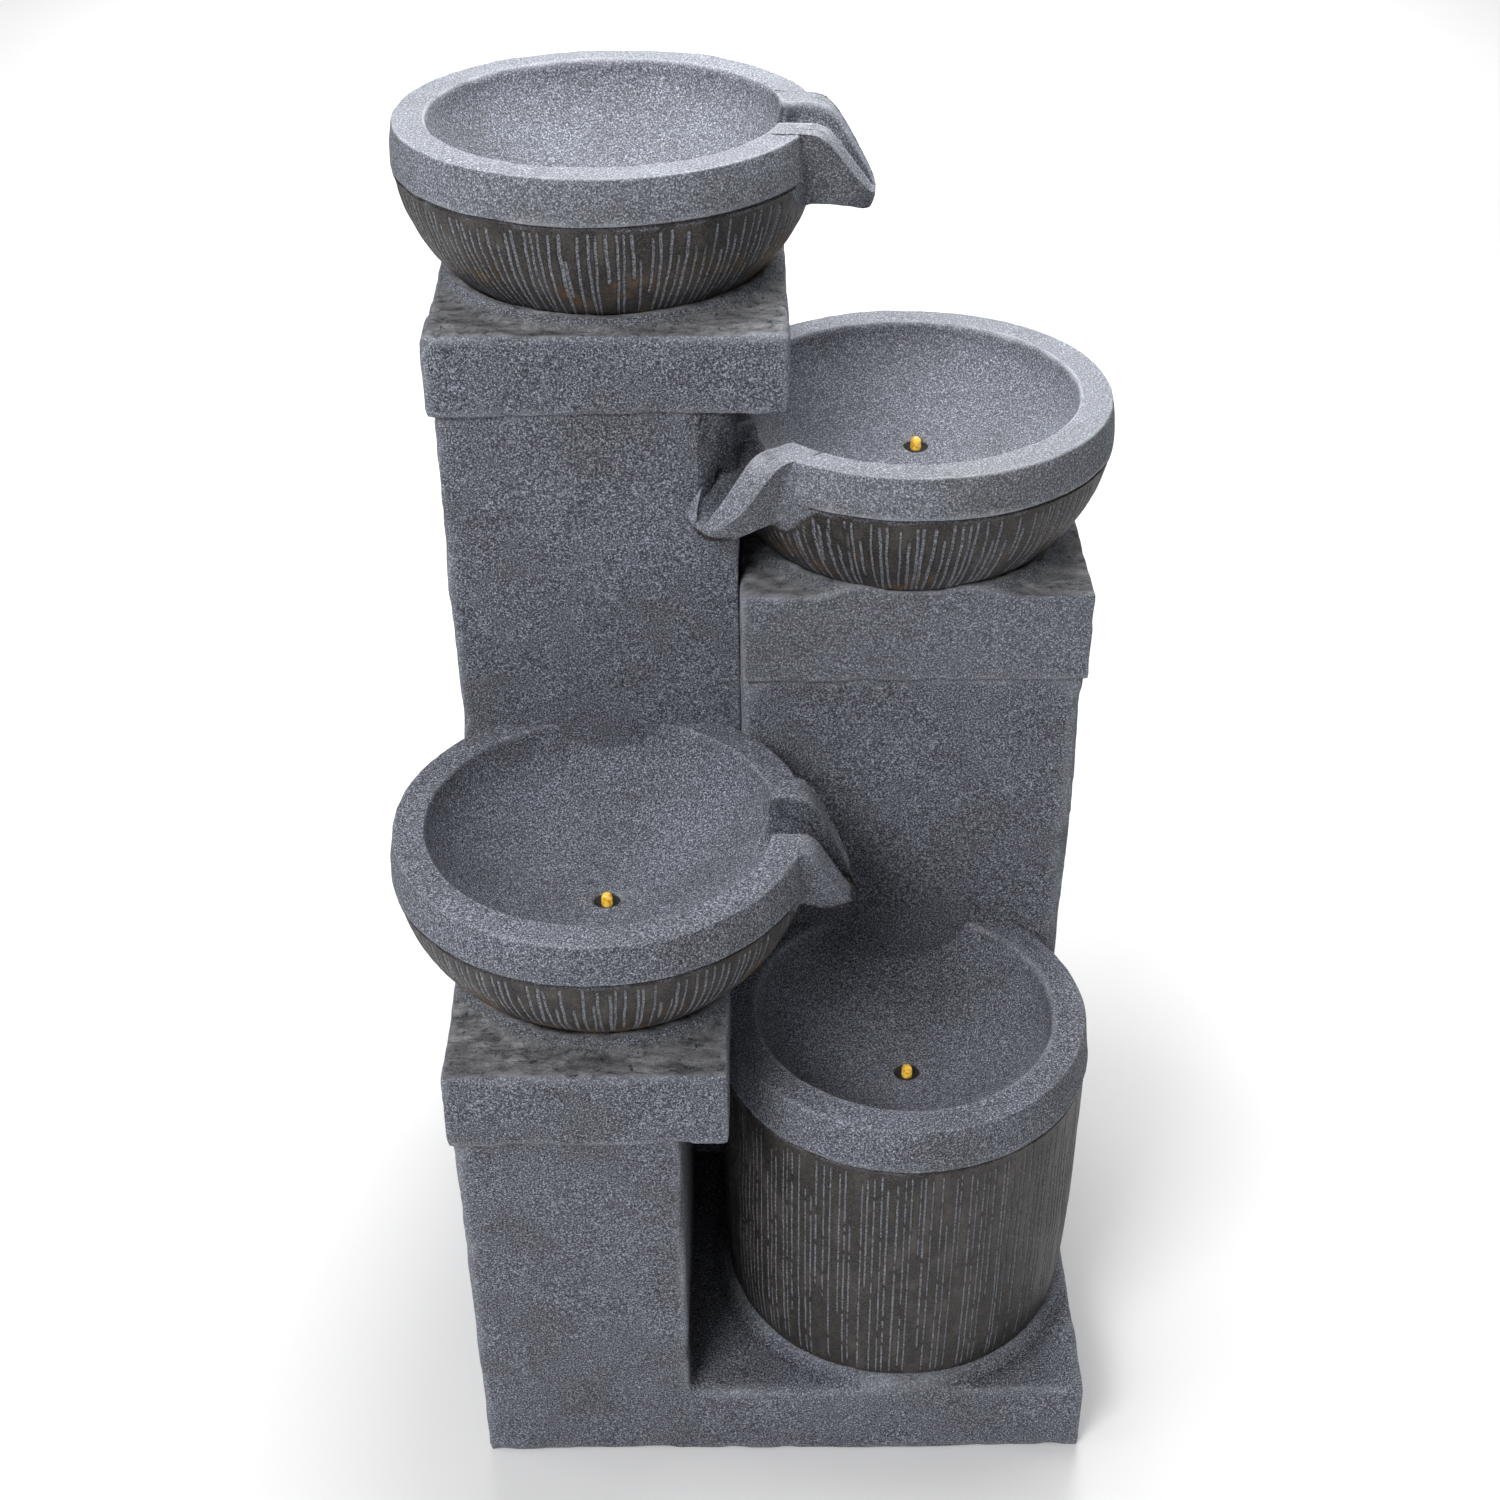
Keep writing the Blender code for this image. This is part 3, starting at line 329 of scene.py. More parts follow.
def basin_stone(name, tone):
    """Granite rim and inside, painted lighter on the upper bowls; outside, a brown-black glaze with pale
    scored lines. Painted shade darkens the channel, the groove and the lines' edges.
    """
    look = Look(name, 0.84)
    look.shader.inputs["Specular IOR Level"].default_value = 0.35
    stone, height = granite_colour(look, tone)
    # lighter at worn edges, and painted light on the bare stone of the upper bowls, most on the rim tops
    worn = look.mix(look.maths("MULTIPLY", look.read("wear_and_painted_light"), 0.60), stone, (0.52, 0.54, 0.57))
    mottle = look.noise(60, 6, 0.75, (1.0, 1.0, 0.6))
    glaze = look.ramp(mottle, ((0.36, (0.010, 0.008, 0.007)), (0.50, (0.023, 0.018, 0.015)),
                               (0.64, (0.060, 0.052, 0.046))))
    grime = look.mix(look.ramp(height, ((0.48, 0.0), (0.59, 0.46))), glaze, (0.132, 0.127, 0.131))
    amber = look.ramp(look.noise(21, 3, 0.6), ((0.50, 0.0), (0.62, 0.85)))
    warm = look.mix(look.maths("MULTIPLY", amber, look.read("amber")), grime, (0.150, 0.080, 0.020))
    # painted shadow: a dark edge along each scored line, where its carved sides would be in shade
    lip = look.mix(look.ramp(look.read("score"), ((0.02, 0.0), (0.16, 0.60), (0.36, 0.0))),
                   warm, (0.010, 0.009, 0.010))
    grit = look.ramp(height, ((0.43, (0.050, 0.052, 0.060)), (0.50, (0.150, 0.158, 0.180)),
                              (0.57, (0.36, 0.38, 0.425))))
    scored = look.mix(look.ramp(look.read("score"), ((0.30, 0.0), (0.62, 0.92))), lip, grit)
    colour = look.mix(look.read("glaze"), worn, scored)
    # painted shade in the spout's channel, darkest where its walls shelter it
    painted_channel_shade = look.mix(look.read("painted_channel_shade"), colour, (0.42, 0.43, 0.45), "MULTIPLY")
    # painted shade in the groove under the band
    groove_shaded = look.mix(look.read("groove"), painted_channel_shade, (0.010, 0.010, 0.011))
    unscored = look.maths("SUBTRACT", 1.0, look.read("score"))
    smooth = look.maths("MULTIPLY", look.read("glaze"), unscored)
    roughness = look.ramp(smooth, ((0.0, 0.86), (1.0, 0.52)))
    soft = look.maths("SUBTRACT", 1.0, look.maths("MULTIPLY", smooth, 0.65))
    return look.finish(groove_shaded, look.maths("MULTIPLY", height, soft), 0.0009, roughness)


def moulded(name, dark, light, roughness, grain=900, metallic=0.0):
    """Moulded plastic, rubber or metal with a fine grain and slight colour drift."""
    look = Look(name, roughness, metallic)
    fine = look.noise(grain, 3, 0.6)
    drift = look.noise(70, 3, 0.5)
    colour = look.mix(drift, dark, light)
    rough = look.ramp(fine, ((0.3, roughness * 0.85), (0.7, min(1.0, roughness * 1.2))))
    return look.finish(colour, fine, 0.00006, rough)


def amber_lens(name):
    """Glossy amber lens, lit from inside near its foot."""
    look = Look(name, 0.08)
    swirl = look.noise(420, 2, 0.5)
    colour = look.ramp(swirl, ((0.35, (0.50, 0.24, 0.015)), (0.65, (0.95, 0.62, 0.09))))
    look.shader.inputs["Coat Weight"].default_value = 0.6
    look.shader.inputs["Emission Strength"].default_value = 0.45
    look.tree.links.new(colour, look.shader.inputs["Emission Color"])
    return look.finish(colour, swirl, 0.0001)


STONE = weathered_stone("pillar_granite", 1.0)
BASIN = basin_stone("basin_granite", 1.05)
PLASTIC = moulded("black_moulding", (0.012, 0.012, 0.013), (0.030, 0.030, 0.032), 0.45)
RUBBER = moulded("black_rubber_moulding", (0.010, 0.010, 0.010), (0.022, 0.022, 0.022), 0.70)
HOSE = moulded("hose_vinyl", (0.42, 0.47, 0.47), (0.60, 0.65, 0.65), 0.25, 300)
CERAMIC = moulded("shaft_ceramic", (0.78, 0.78, 0.75), (0.88, 0.88, 0.86), 0.30, 500)
FERRITE = moulded("rotor_ferrite", (0.035, 0.035, 0.040), (0.065, 0.065, 0.070), 0.40, 500)
STEEL = moulded("pin_steel", (0.50, 0.50, 0.50), (0.66, 0.66, 0.66), 0.30, 1200, 1.0)
LENS = amber_lens("lamp_amber")


def dress(piece, material, nodes, body=ROOT):
    """Give a piece its material and body, and hide the CAD nodes that it stands for."""
    piece.data.materials.clear()
    piece.data.materials.append(material)
    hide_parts(*nodes)
    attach(piece, body)


# ---------------------------------------------------------------- where the basins sit
# The middle of each rim, and for the spouted bowls the heading of the spout in degrees.
TOP_BOWL, TOP_TURN = (-0.0882, 0.1056, 0.8024), -4.8
MIDDLE_BOWL, MIDDLE_TURN = (0.0954, 0.0708, 0.6396), 214.8
LOWER_BOWL, LOWER_TURN = (-0.0955, -0.1055, 0.4428), -0.8
POT = (0.0928, -0.1030, 0.2878)
MIDDLE_DROOP, LOWER_DROOP = 1.08, 1.30      # how much lower than the top one their spouts bend
BURY = 0.0035                               # how deep hidden joints grow into their neighbours

# ---------------------------------------------------------------- cast stone blocks
COLLAR_CENTRES = {"tall_cap": TOP_BOWL[:2], "middle_cap": MIDDLE_BOWL[:2],
                  "front_cap": LOWER_BOWL[:2]}
FACE_LAYERS = ((0.090, 0.0011), (0.030, 0.0006), (0.011, 0.00035), (0.005, 0.00018))


def block_copy(nodes):
    """The CAD meshes of some nodes in one, with their hidden joints grown into each other."""
    made = bmesh.new()
    for node in nodes:
        mesh = frame["nodes"][node].data.copy()
        corners = read_points(mesh)
        if node == "base_plinth":
            corners[(corners[:, 0] < -0.040) & (corners[:, 1] < -0.007), 0] -= 0.012
        if "pillar" in node:
            corners[corners[:, 2] > corners[:, 2].max() - 0.0005, 2] += BURY
        if node in ("tall_pillar", "middle_pillar"):
            corners[corners[:, 2] < corners[:, 2].min() + 0.0005, 2] -= BURY
        write_points(mesh, corners)
        made.from_mesh(mesh)
        bpy.data.meshes.remove(mesh)
    mesh = bpy.data.meshes.new("stone_" + nodes[0])
    made.to_mesh(mesh)
    made.free()
    return mesh


def cast_block(nodes, voxel, seed, slate_top=None, body=ROOT, still=0.0, cutters=(), pale=0.0):
    """A roughened copy of CAD blocks.

    The upper face just below slate_top is pitted like slate, and what stands above it is a
    collar under a bowl. still takes roughness away, and pale lightens the whole block as painted light.
    """
    node = nodes[0]
    piece = linked("stone_" + node, block_copy(nodes))
    remesh = piece.modifiers.new("remesh", "REMESH")
    remesh.mode = "VOXEL"
    remesh.voxel_size = voxel
    ease = piece.modifiers.new("ease", "SMOOTH")
    ease.factor = 0.5
    ease.iterations = 2
    bake_modifiers(piece)
    mesh = piece.data
    if slate_top is not None:
        centre = COLLAR_CENTRES[node]
        points = read_points(mesh)
        away = points[:, :2] - centre
        reach = np.hypot(away[:, 0], away[:, 1])
        collar = smoothstep(slate_top + 0.0004, slate_top + 0.0025, points[:, 2]) * (reach < 0.110)
        points[:, :2] -= away / reach[:, None] * (0.0016 * collar)[:, None]
        write_points(mesh, points)
    points, normals = read_points(mesh), read_normals(mesh)
    scale = 1.0 - still
    shift = layered(points, FACE_LAYERS, seed) * scale
    top = np.zeros(len(points))
    if slate_top is not None:
        high = smoothstep(slate_top - 0.010, slate_top - 0.006, points[:, 2])
        top = smoothstep(0.80, 0.95, normals[:, 2]) * high
        streaks = (((0.045, 0.010, 0.02), 0.6), ((0.016, 0.004, 0.02), 0.5))
        streak = layered(points, streaks, seed + 20)
        pits = value_noise(points, 0.0065, seed + 30)
        shift += top * (0.0011 * streak - 0.0016 * smoothstep(0.45, 0.75, pits))
    if node == "front_pillar":
        away = np.hypot(points[:, 0] - POT[0], points[:, 1] - POT[1])
        bedding = (1 - smoothstep(0.113, 0.126, away)) * smoothstep(0.8, 0.95, normals[:, 2])
        points[:, 2] += 0.0065 * bedding
    proud = convexity(mesh)
    chips = smoothstep(0.10, 0.7, value_noise(points, 0.016, seed + 40))
    shift -= scale * smoothstep(0.15, 0.6, proud) * (0.0002 + 0.0012 * chips)
    points = points + normals * (shift + 0.0004 * scale)[:, None]
    points[:, 2] = np.maximum(points[:, 2], 0.0)
    write_points(mesh, points)
    if cutters:
        subtract(piece, cutters)
        mesh = piece.data
        points = read_points(mesh)
        top = np.zeros(len(points))
    proud = convexity(mesh, 4)
    patchy = 0.55 + 0.45 * value_noise(points, 0.012, seed + 50)
    # worn edges are lighter; pale adds painted light over the whole block
    wear_and_painted_light = smoothstep(0.10, 0.55, proud) * patchy + pale
    if slate_top is not None:
        wear_and_painted_light += 0.45 * smoothstep(slate_top + 0.0002, slate_top + 0.0025, points[:, 2])
    store(mesh, "wear_and_painted_light", np.clip(wear_and_painted_light, 0, 1))
    # painted shade: how much each crease is darkened, for the material
    store(mesh, "crease_shade", smoothstep(0.10, 0.60, -proud) * 0.5)
    store(mesh, "slate", top)
    dress(piece, STONE, nodes, body)


def make_blocks():
    beak_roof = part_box("tall_cap")[0].z + 0.012
    cast_block(["tall_pillar"], 0.0028, 100, cutters=[beak_space(beak_roof)])
    cast_block(["middle_pillar"], 0.0028, 107)
    cast_block(["front_pillar", "base_plinth"], 0.0029, 114)
    # the middle cap's pale of 0.20 lightens it as painted light
    for seed, node, pale in ((300, "tall_cap", 0.0), (307, "middle_cap", 0.20), (314, "front_cap", 0.0)):
        cast_block([node], 0.0017, seed, slate_top=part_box(node)[1].z, pale=pale)
    cast_block(["access_door"], 0.0016, 400, body="door", still=0.6)


# ---------------------------------------------------------------- basins
RIM_R, MOUTH_R, BAND_R, BAND_H = 0.1250, 0.1046, 0.1278, 0.0258
BOWL_DEPTH, SIDE_DROP, SIDE_TOP = 0.0613, 0.1065, 0.01875
POT_RIM_R, POT_MOUTH_R, POT_BAND_R, POT_BAND_H, POT_DEPTH = 0.1159, 0.0948, 0.1198, 0.0290, 0.0575
GROOVE = ((0.0006, 0.0003), (0.0018, 0.0008), (0.0018, 0.0015), (0.0004, 0.0022))  # inset, drop
EDGE_ROUND = 0.0016
SPOUT_TURN = math.radians(35.1)             # where a spout's influence on the rim ends
SPOUT_HALF, CHANNEL_HALF = 0.0400, 0.0204   # half widths of a spout and its channel at the rim
KNEE, TIP = 0.1180, 0.1582                  # where a spout starts to narrow, and where it ends
MEET = 0.0475                               # where a spout's underside meets the bowl, down from the rim
SHELL_MEET = 0.0360                         # the same for the columns beside the spout


def way(reach, start, end):
    """How far a reach has gone from a start to an end, 0 to 1."""
    return np.clip((reach - start) / (end - start), 0, 1)


# Shape of a spout. Each of these takes the reach from the bowl's axis: the first two give the
# half width of the spout and of its channel, and the others the height of one of its lines.
def outline(reach):
    return 0.0030 + (SPOUT_HALF - 0.0030) * (1 - way(reach, KNEE, TIP) ** 2) ** 0.45


def channel(reach):
    return 0.0004 + (CHANNEL_HALF - 0.0004) * (1 - way(reach, 0.1100, 0.1572) ** 1.6) ** 0.5


def bend_down(reach, start, bend):
    """Level at first, then bending down into a steep even slope past a start."""
    return -1.5 * bend * np.log1p(np.exp((reach - start) / bend))


def ridge(reach):
    return bend_down(reach, 0.1300, 0.0030) - 0.0022 * way(reach, 0.1520, TIP)


def edge(reach):
    return bend_down(reach, 0.1282, 0.0034) - 0.0006 * way(reach, 0.1520, TIP)


def shoulder(reach):
    return ridge(reach) - 0.0128 * (1 - way(reach, 0.1300, 0.1575) ** 4)


def bed(reach):
    return ridge(reach) - 0.0280 * (1 - way(reach, KNEE, 0.1575) ** 2) ** 0.75


def keel(reach):
    return -0.0430 - 0.0102 * way(reach, 0.1220, TIP) ** 1.8


def sunk(profile, reach, droop):
    """A height profile whose outer end is drawn further down by a factor."""
    return profile(reach) * (1 + (droop - 1) * smoothstep(0.110, 0.142, reach))


def side_radius(depth):
    """Radius of a bowl's elliptic underside at a depth below its rim."""
    fall = np.clip((depth - SIDE_TOP) / SIDE_DROP, -1, 1)
    return (BAND_R - 0.0010) * np.sqrt(1.0 - fall * fall)


def beak_space(high):
    """Cutter that opens the tall pillar above the middle bowl's spout, up to a height."""
    roof = high - MIDDLE_BOWL[2]
    rings = []
    for reach in np.linspace(0.0750, TIP, 80):
        half, trough = outline(reach) + 0.0004, channel(reach) + 0.0012
        floor = sunk(edge, reach, MIDDLE_DROOP) - 0.0025
        low = min(floor - 0.0005, sunk(bed, reach, MIDDLE_DROOP) - 0.0020)
        far = trough + 0.0032
        rings.append([(reach, -far, floor), (reach, -trough, floor), (reach, -trough, low),
                      (reach, trough, low), (reach, trough, floor), (reach, half, floor),
                      (reach, half, roof), (reach, -far, roof)])
    return skin("cutter", np.array(rings) @ spin_about_z(MIDDLE_TURN).T + MIDDLE_BOWL)


def spout_columns(regular):
    """Columns round a bowl, first up one side and then back down the other.

    q says where a column is: 0 to 1 in the channel, 1 to 2 on the land beside it, 2 to 3 on
    the corner where the spout meets the rim, and from 3 to 4 on plain rim. wall is 0 in the
    channel, 1 outside it and between them up its wall. sign is the side.
    """
    mouth = np.linspace(0, 1, 30)
    land = np.linspace(1, 2, 56)
    corner = 2 + np.linspace(0, 1, 36)[1:] ** 1.5
    plain = 3 + np.linspace(0, 1, regular)[1:]
    q = np.concatenate([mouth, [1.0, 1.0], land, corner, plain])
    wall = np.concatenate([np.zeros(len(mouth)), [0.33, 0.67], np.ones(len(q) - len(mouth) - 2)])
    sign = np.concatenate([np.ones(len(q)), -np.ones(len(q) - 2)])
    return (np.concatenate([q, q[-2:0:-1]]), np.concatenate([wall, wall[-2:0:-1]]), sign)


def bowl_rings(foot_depth, extra, droop=1.0):
    """Grid of points over a spouted bowl, with the spout along +X and the rim at z 0.

    extra is how much further out than usual the spout sits, and droop how much lower its
    end bends. Rows run from the middle of the dish out over the rim and under to the foot.
    """
    q, wall, sign = spout_columns(520)
    root = math.sqrt(RIM_R ** 2 - SPOUT_HALF ** 2) - extra
    reaches = np.linspace(TIP, root, 500)
    halves = outline(reaches)
    path = np.append(0, np.cumsum(np.hypot(np.diff(reaches), np.diff(halves))))
    end_reach = np.interp(np.clip(q - 1, 0, 1) * path[-1], path, reaches)
    widths = np.maximum.accumulate(halves - channel(reaches))
    land = widths[-1]
    lane = np.interp(-end_reach, -reaches, widths - widths[0]) * land / (land - widths[0])
    width = np.where(q <= 1, q * CHANNEL_HALF, CHANNEL_HALF + lane)
    mouth_turn = np.arcsin(np.clip(width / MOUTH_R, 0, 1))
    edge_turn = math.asin((CHANNEL_HALF + land) / MOUTH_R)
    mouth_turn = np.where(q > 2, edge_turn + (SPOUT_TURN - edge_turn) * (q - 2), mouth_turn)
    mouth_turn = np.where(q > 3, SPOUT_TURN + (math.pi - SPOUT_TURN) * (q - 3), mouth_turn)
    end_half = np.minimum(q, 1) * outline(end_reach)
    corner = smoothstep(2.0, 2.3, q)

    def fan(beak_turn):
        """Heading of every column, given that of the columns on the spout."""
        turning = beak_turn + (SPOUT_TURN - beak_turn) * np.clip(q - 2, 0, 1)
        return np.where(q > 3, mouth_turn, turning)

    end_x, end_y = end_reach + extra, end_half
    end_turn = fan(np.arctan2(end_y, end_x))
    end_r = np.where(q <= 2, np.hypot(end_x, end_y), RIM_R)
    end_x, end_y = end_r * np.cos(end_turn), end_r * np.sin(end_turn)
    rows = []

    def lay(x, y, high, low):
        """One row: land height where there is no channel, the lower of both inside it."""
        z = np.where(wall >= 1, high, (1 - wall) * np.minimum(high, low) + wall * high)
        rows.append(np.stack([x, sign * y, z], axis=1))

    def channel_floor(x):
        across = np.clip((np.minimum(q, 1) - 0.22) / 0.78, 0, 1) ** 1.25
        low, high = sunk(bed, x - extra, droop), sunk(shoulder, x - extra, droop)
        return low * (1 - across) + high * across

    def land_height(x):
        inner, outer = sunk(ridge, x - extra, droop), sunk(edge, x - extra, droop)
        span = outline(x - extra) - channel(x - extra)
        return (inner + (outer - inner) * np.clip(lane / span, 0, 1)) * (1 - corner)

    # the dish, and the turn of its lip
    for angle in np.radians(np.concatenate([np.linspace(4, 60, 15), np.linspace(62, 86, 14)])):
        r = MOUTH_R * math.sin(angle)
        x, y = r * np.cos(mouth_turn), r * np.sin(mouth_turn)
        lay(x, y, np.full(len(q), -BOWL_DEPTH * math.cos(angle)), channel_floor(x))
    lip = -BOWL_DEPTH * math.cos(math.radians(86))
    for part in np.linspace(0, 1, 4)[1:]:
        r = MOUTH_R + 0.0016 * (1 - math.cos(part * math.pi / 2))
        x, y = r * np.cos(mouth_turn), r * np.sin(mouth_turn)
        lay(x, y, np.full(len(q), lip * (1 - math.sin(part * math.pi / 2))), channel_floor(x))
    # the flat of the rim, and the lands and the channel of the spout
    start_x, start_y = x, y
    shrink = np.clip(1 - EDGE_ROUND / np.hypot(end_x - start_x, end_y - start_y), 0, 1)
    for part in np.linspace(0, 1, 31)[1:]:
        x = start_x + (end_x - start_x) * part * shrink
        y = start_y + (end_y - start_y) * part * shrink
        follow = np.minimum(q, 1) * channel(x - extra) + lane
        y = np.where(q <= 2, y + (follow - y) * smoothstep(0, 0.2, part), y)
        lay(x, y, land_height(x), channel_floor(x))
    last = rows[-1]
    # where the outer face of the band ends, and the underside of the spout
    keel_reach = end_reach + extra + 0.0020 * (1 - smoothstep(0.118, 0.135, end_reach))
    keel_x, keel_y = keel_reach - 0.0025 * smoothstep(0.140, 0.160, end_reach), 0.72 * end_half
    keel_z = sunk(keel, end_reach, 1 + 0.4 * (droop - 1))
    foot_turn = fan(np.arctan2(keel_y, keel_x))
    band_depth = -keel_z + (BAND_H + keel_z) * corner
    band_r = np.where(q <= 2, np.hypot(keel_x, keel_y), side_radius(band_depth) + 0.0010 * corner)
    band_x, band_y = band_r * np.cos(foot_turn), band_r * np.sin(foot_turn)
    # the rounded outer edge, and the face below it
    for bend in np.radians((30, 60, 90)):
        x = last[:, 0] + (end_x - last[:, 0]) * math.sin(bend)
        y = np.abs(last[:, 1]) + (end_y - np.abs(last[:, 1])) * math.sin(bend)
        rows.append(np.stack([x, sign * y, last[:, 2] - EDGE_ROUND * (1 - math.cos(bend))], axis=1))
    brink = rows[-1]
    root_blend = 0.9 * np.exp(-((q - 2.02) / 0.10) ** 2)
    for part in np.linspace(0, 1, 12)[1:]:
        bulge = 0.0006 * math.sin(part * math.pi)
        x = brink[:, 0] + (band_x - brink[:, 0]) * part + bulge * np.cos(foot_turn)
        y = np.abs(brink[:, 1]) + (band_y - np.abs(brink[:, 1])) * part + bulge * np.sin(foot_turn)
        z = brink[:, 2] + (-band_depth - brink[:, 2]) * part
        row = np.stack([x, sign * y, z], axis=1)
        for _ in range(40):
            beside = (np.roll(row, 1, axis=0) + np.roll(row, -1, axis=0)) / 2
            row = row + (beside - row) * (root_blend * smoothstep(0, 0.3, part))[:, None]
        rows.append(row)
    # the groove under the band
    groove = smoothstep(2.32, 2.6, q)
    for inset, drop in GROOVE:
        r = band_r - inset * groove
        rows.append(np.stack([r * np.cos(foot_turn), sign * r * np.sin(foot_turn),
                              -band_depth - drop * groove - 0.0002], axis=1))
    # from there in to the shell, down its side, and up into the hollow foot
    begin = rows[-1]
    begin_r, begin_depth = np.hypot(begin[:, 0], begin[:, 1]), -begin[:, 2]
    meet_depth = MEET + (SHELL_MEET - MEET) * corner
    meet_turn = fan(np.where(q <= 1, 0.06 * q, 0.06 + 0.17 * np.clip(q - 1, 0, 1)))
    for part in np.linspace(0, 1, 10)[1:]:
        depth = begin_depth + (meet_depth - begin_depth) * part
        turn = foot_turn + (meet_turn - foot_turn) * part
        straight = begin_r + (side_radius(meet_depth) - begin_r) * part
        r = straight * (1 - corner) + side_radius(depth) * corner
        rows.append(np.stack([r * np.cos(turn), sign * r * np.sin(turn), -depth], axis=1))
    for part in np.linspace(0, 1, 30)[1:]:
        depth = meet_depth + (foot_depth - meet_depth) * part
        turn = meet_turn + (mouth_turn - meet_turn) * smoothstep(0, 0.8, part)
        r = side_radius(depth)
        rows.append(np.stack([r * np.cos(turn), sign * r * np.sin(turn), -depth], axis=1))
    for r, depth in ((0.0310, foot_depth), (0.0300, foot_depth),
                     (0.0300, 0.0755), (0.0150, 0.0750)):
        rows.append(np.stack([r * np.cos(mouth_turn), sign * r * np.sin(mouth_turn),
                              np.full(len(q), -depth)], axis=1))
    return np.stack(rows)


def pot_rings(foot_depth):
    """Grid of points over the catch pot, with its rim at z 0."""
    turn = np.linspace(0, 2 * math.pi, 1200, endpoint=False)
    profile = [(POT_MOUTH_R * math.sin(angle), -POT_DEPTH * math.cos(angle))
               for angle in np.radians(np.linspace(4, 86, 30))]
    lip = profile[-1][1]
    profile += [(POT_MOUTH_R + 0.0026 * (1 - math.cos(bend)), lip * (1 - math.sin(bend)))
                for bend in np.radians((30, 60, 90))]
    profile += [(r, 0.0) for r in np.linspace(POT_MOUTH_R + 0.0045, POT_RIM_R - EDGE_ROUND, 8)]
    profile += [(POT_RIM_R - EDGE_ROUND * (1 - math.sin(bend)), -EDGE_ROUND * (1 - math.cos(bend)))
                for bend in np.radians((30, 60, 90))]
    profile += [(POT_RIM_R + (POT_BAND_R - POT_RIM_R) * part,
                 -EDGE_ROUND - (POT_BAND_H - EDGE_ROUND) * part)
                for part in np.linspace(0, 1, 12)[1:]]
    profile += [(POT_BAND_R - inset, -POT_BAND_H - drop) for inset, drop in GROOVE]
    side = ((0.033, POT_BAND_R - 0.0010), (0.150, 0.1180), (0.195, 0.1168), (0.212, 0.1152),
            (0.222, 0.1138), (foot_depth, 0.1128))
    profile += [(np.interp(down, *zip(*side)), -down) for down in np.linspace(0.034, foot_depth, 56)]
    profile += [(0.1070, -foot_depth), (0.1065, -foot_depth), (0.1065, -0.0730), (0.0400, -0.0725)]
    radius, height = np.array(profile).T
    return np.stack([radius[:, None] * np.cos(turn), radius[:, None] * np.sin(turn),
                     np.repeat(height[:, None], len(turn), axis=1)], axis=-1)


def scored_lines(points, top, bottom, spacing, half_width, seed, pot):
    """How deep each point lies in the lines scored down a basin's side, 0 to 1."""
    chooser = np.random.default_rng(seed)
    turn = np.arctan2(points[:, 1], points[:, 0])
    radius = np.hypot(points[:, 0], points[:, 1])
    down = (-points[:, 2] - top) / (bottom - top)
    marks = np.zeros(len(points))
    count = int(2 * math.pi * 0.125 / spacing)
    for number in range(count):
        centre = (number + chooser.uniform(-0.30, 0.30)) * 2 * math.pi / count
        lean = chooser.normal(0, 0.003 if pot else 0.010)
        begin = abs(chooser.normal(0.02, 0.02)) if chooser.random() < 0.8 else chooser.uniform(0.05, 0.30)
        if pot:
            end = 1.02 if chooser.random() < 0.7 else chooser.uniform(0.4, 0.9)
        else:
            end = 1.05 if chooser.random() < 0.8 else chooser.uniform(0.5, 0.9)
        width = half_width * chooser.uniform(0.75, 1.2)
        phase = chooser.uniform(0, 6.3)
        near = np.abs((turn - centre + math.pi) % (2 * math.pi) - math.pi) < 0.06
        part = down[near]
        wave = 0.0005 if pot else 0.0030
        sway = np.sin(5.5 * part + phase) + 0.4 * np.sin(17 * part + 2 * phase)
        wander = lean * (part - 0.5) + wave * sway
        away = np.abs((turn[near] - centre - wander + math.pi) % (2 * math.pi) - math.pi) * radius[near]
        fade = smoothstep(begin - 0.01, begin + 0.02, part) * (1 - smoothstep(end - 0.06, end, part))
        along = np.stack([part * 60, np.full(len(part), number * 7.0), part * 0], axis=1)
        dash = value_noise(along, 1.0, seed)
        fade *= smoothstep(-0.75, -0.25, dash + (0.22 if pot else 0.5))
        marks[near] = np.maximum(marks[near], fade * np.exp(-(away / width) ** 2))
    return marks


def channel_shade(points):
    """How sheltered each point of a spouted bowl is by its channel's walls, 0 to 1, used as painted shade.
    """
    reach = np.hypot(points[:, 0], points[:, 1])
    inside = smoothstep(0.0, 0.0015, channel(reach) + 0.0006 - np.abs(points[:, 1]))
    below = smoothstep(0.0006, 0.0045, ridge(reach) - points[:, 2])
    towards_tip = 1 - 0.6 * smoothstep(0.140, 0.156, reach)
    return inside * below * smoothstep(0.098, 0.106, points[:, 0]) * towards_tip


BASIN_LAYERS = ((0.060, 0.0006), (0.022, 0.0004), (0.009, 0.00022), (0.0045, 0.00012))


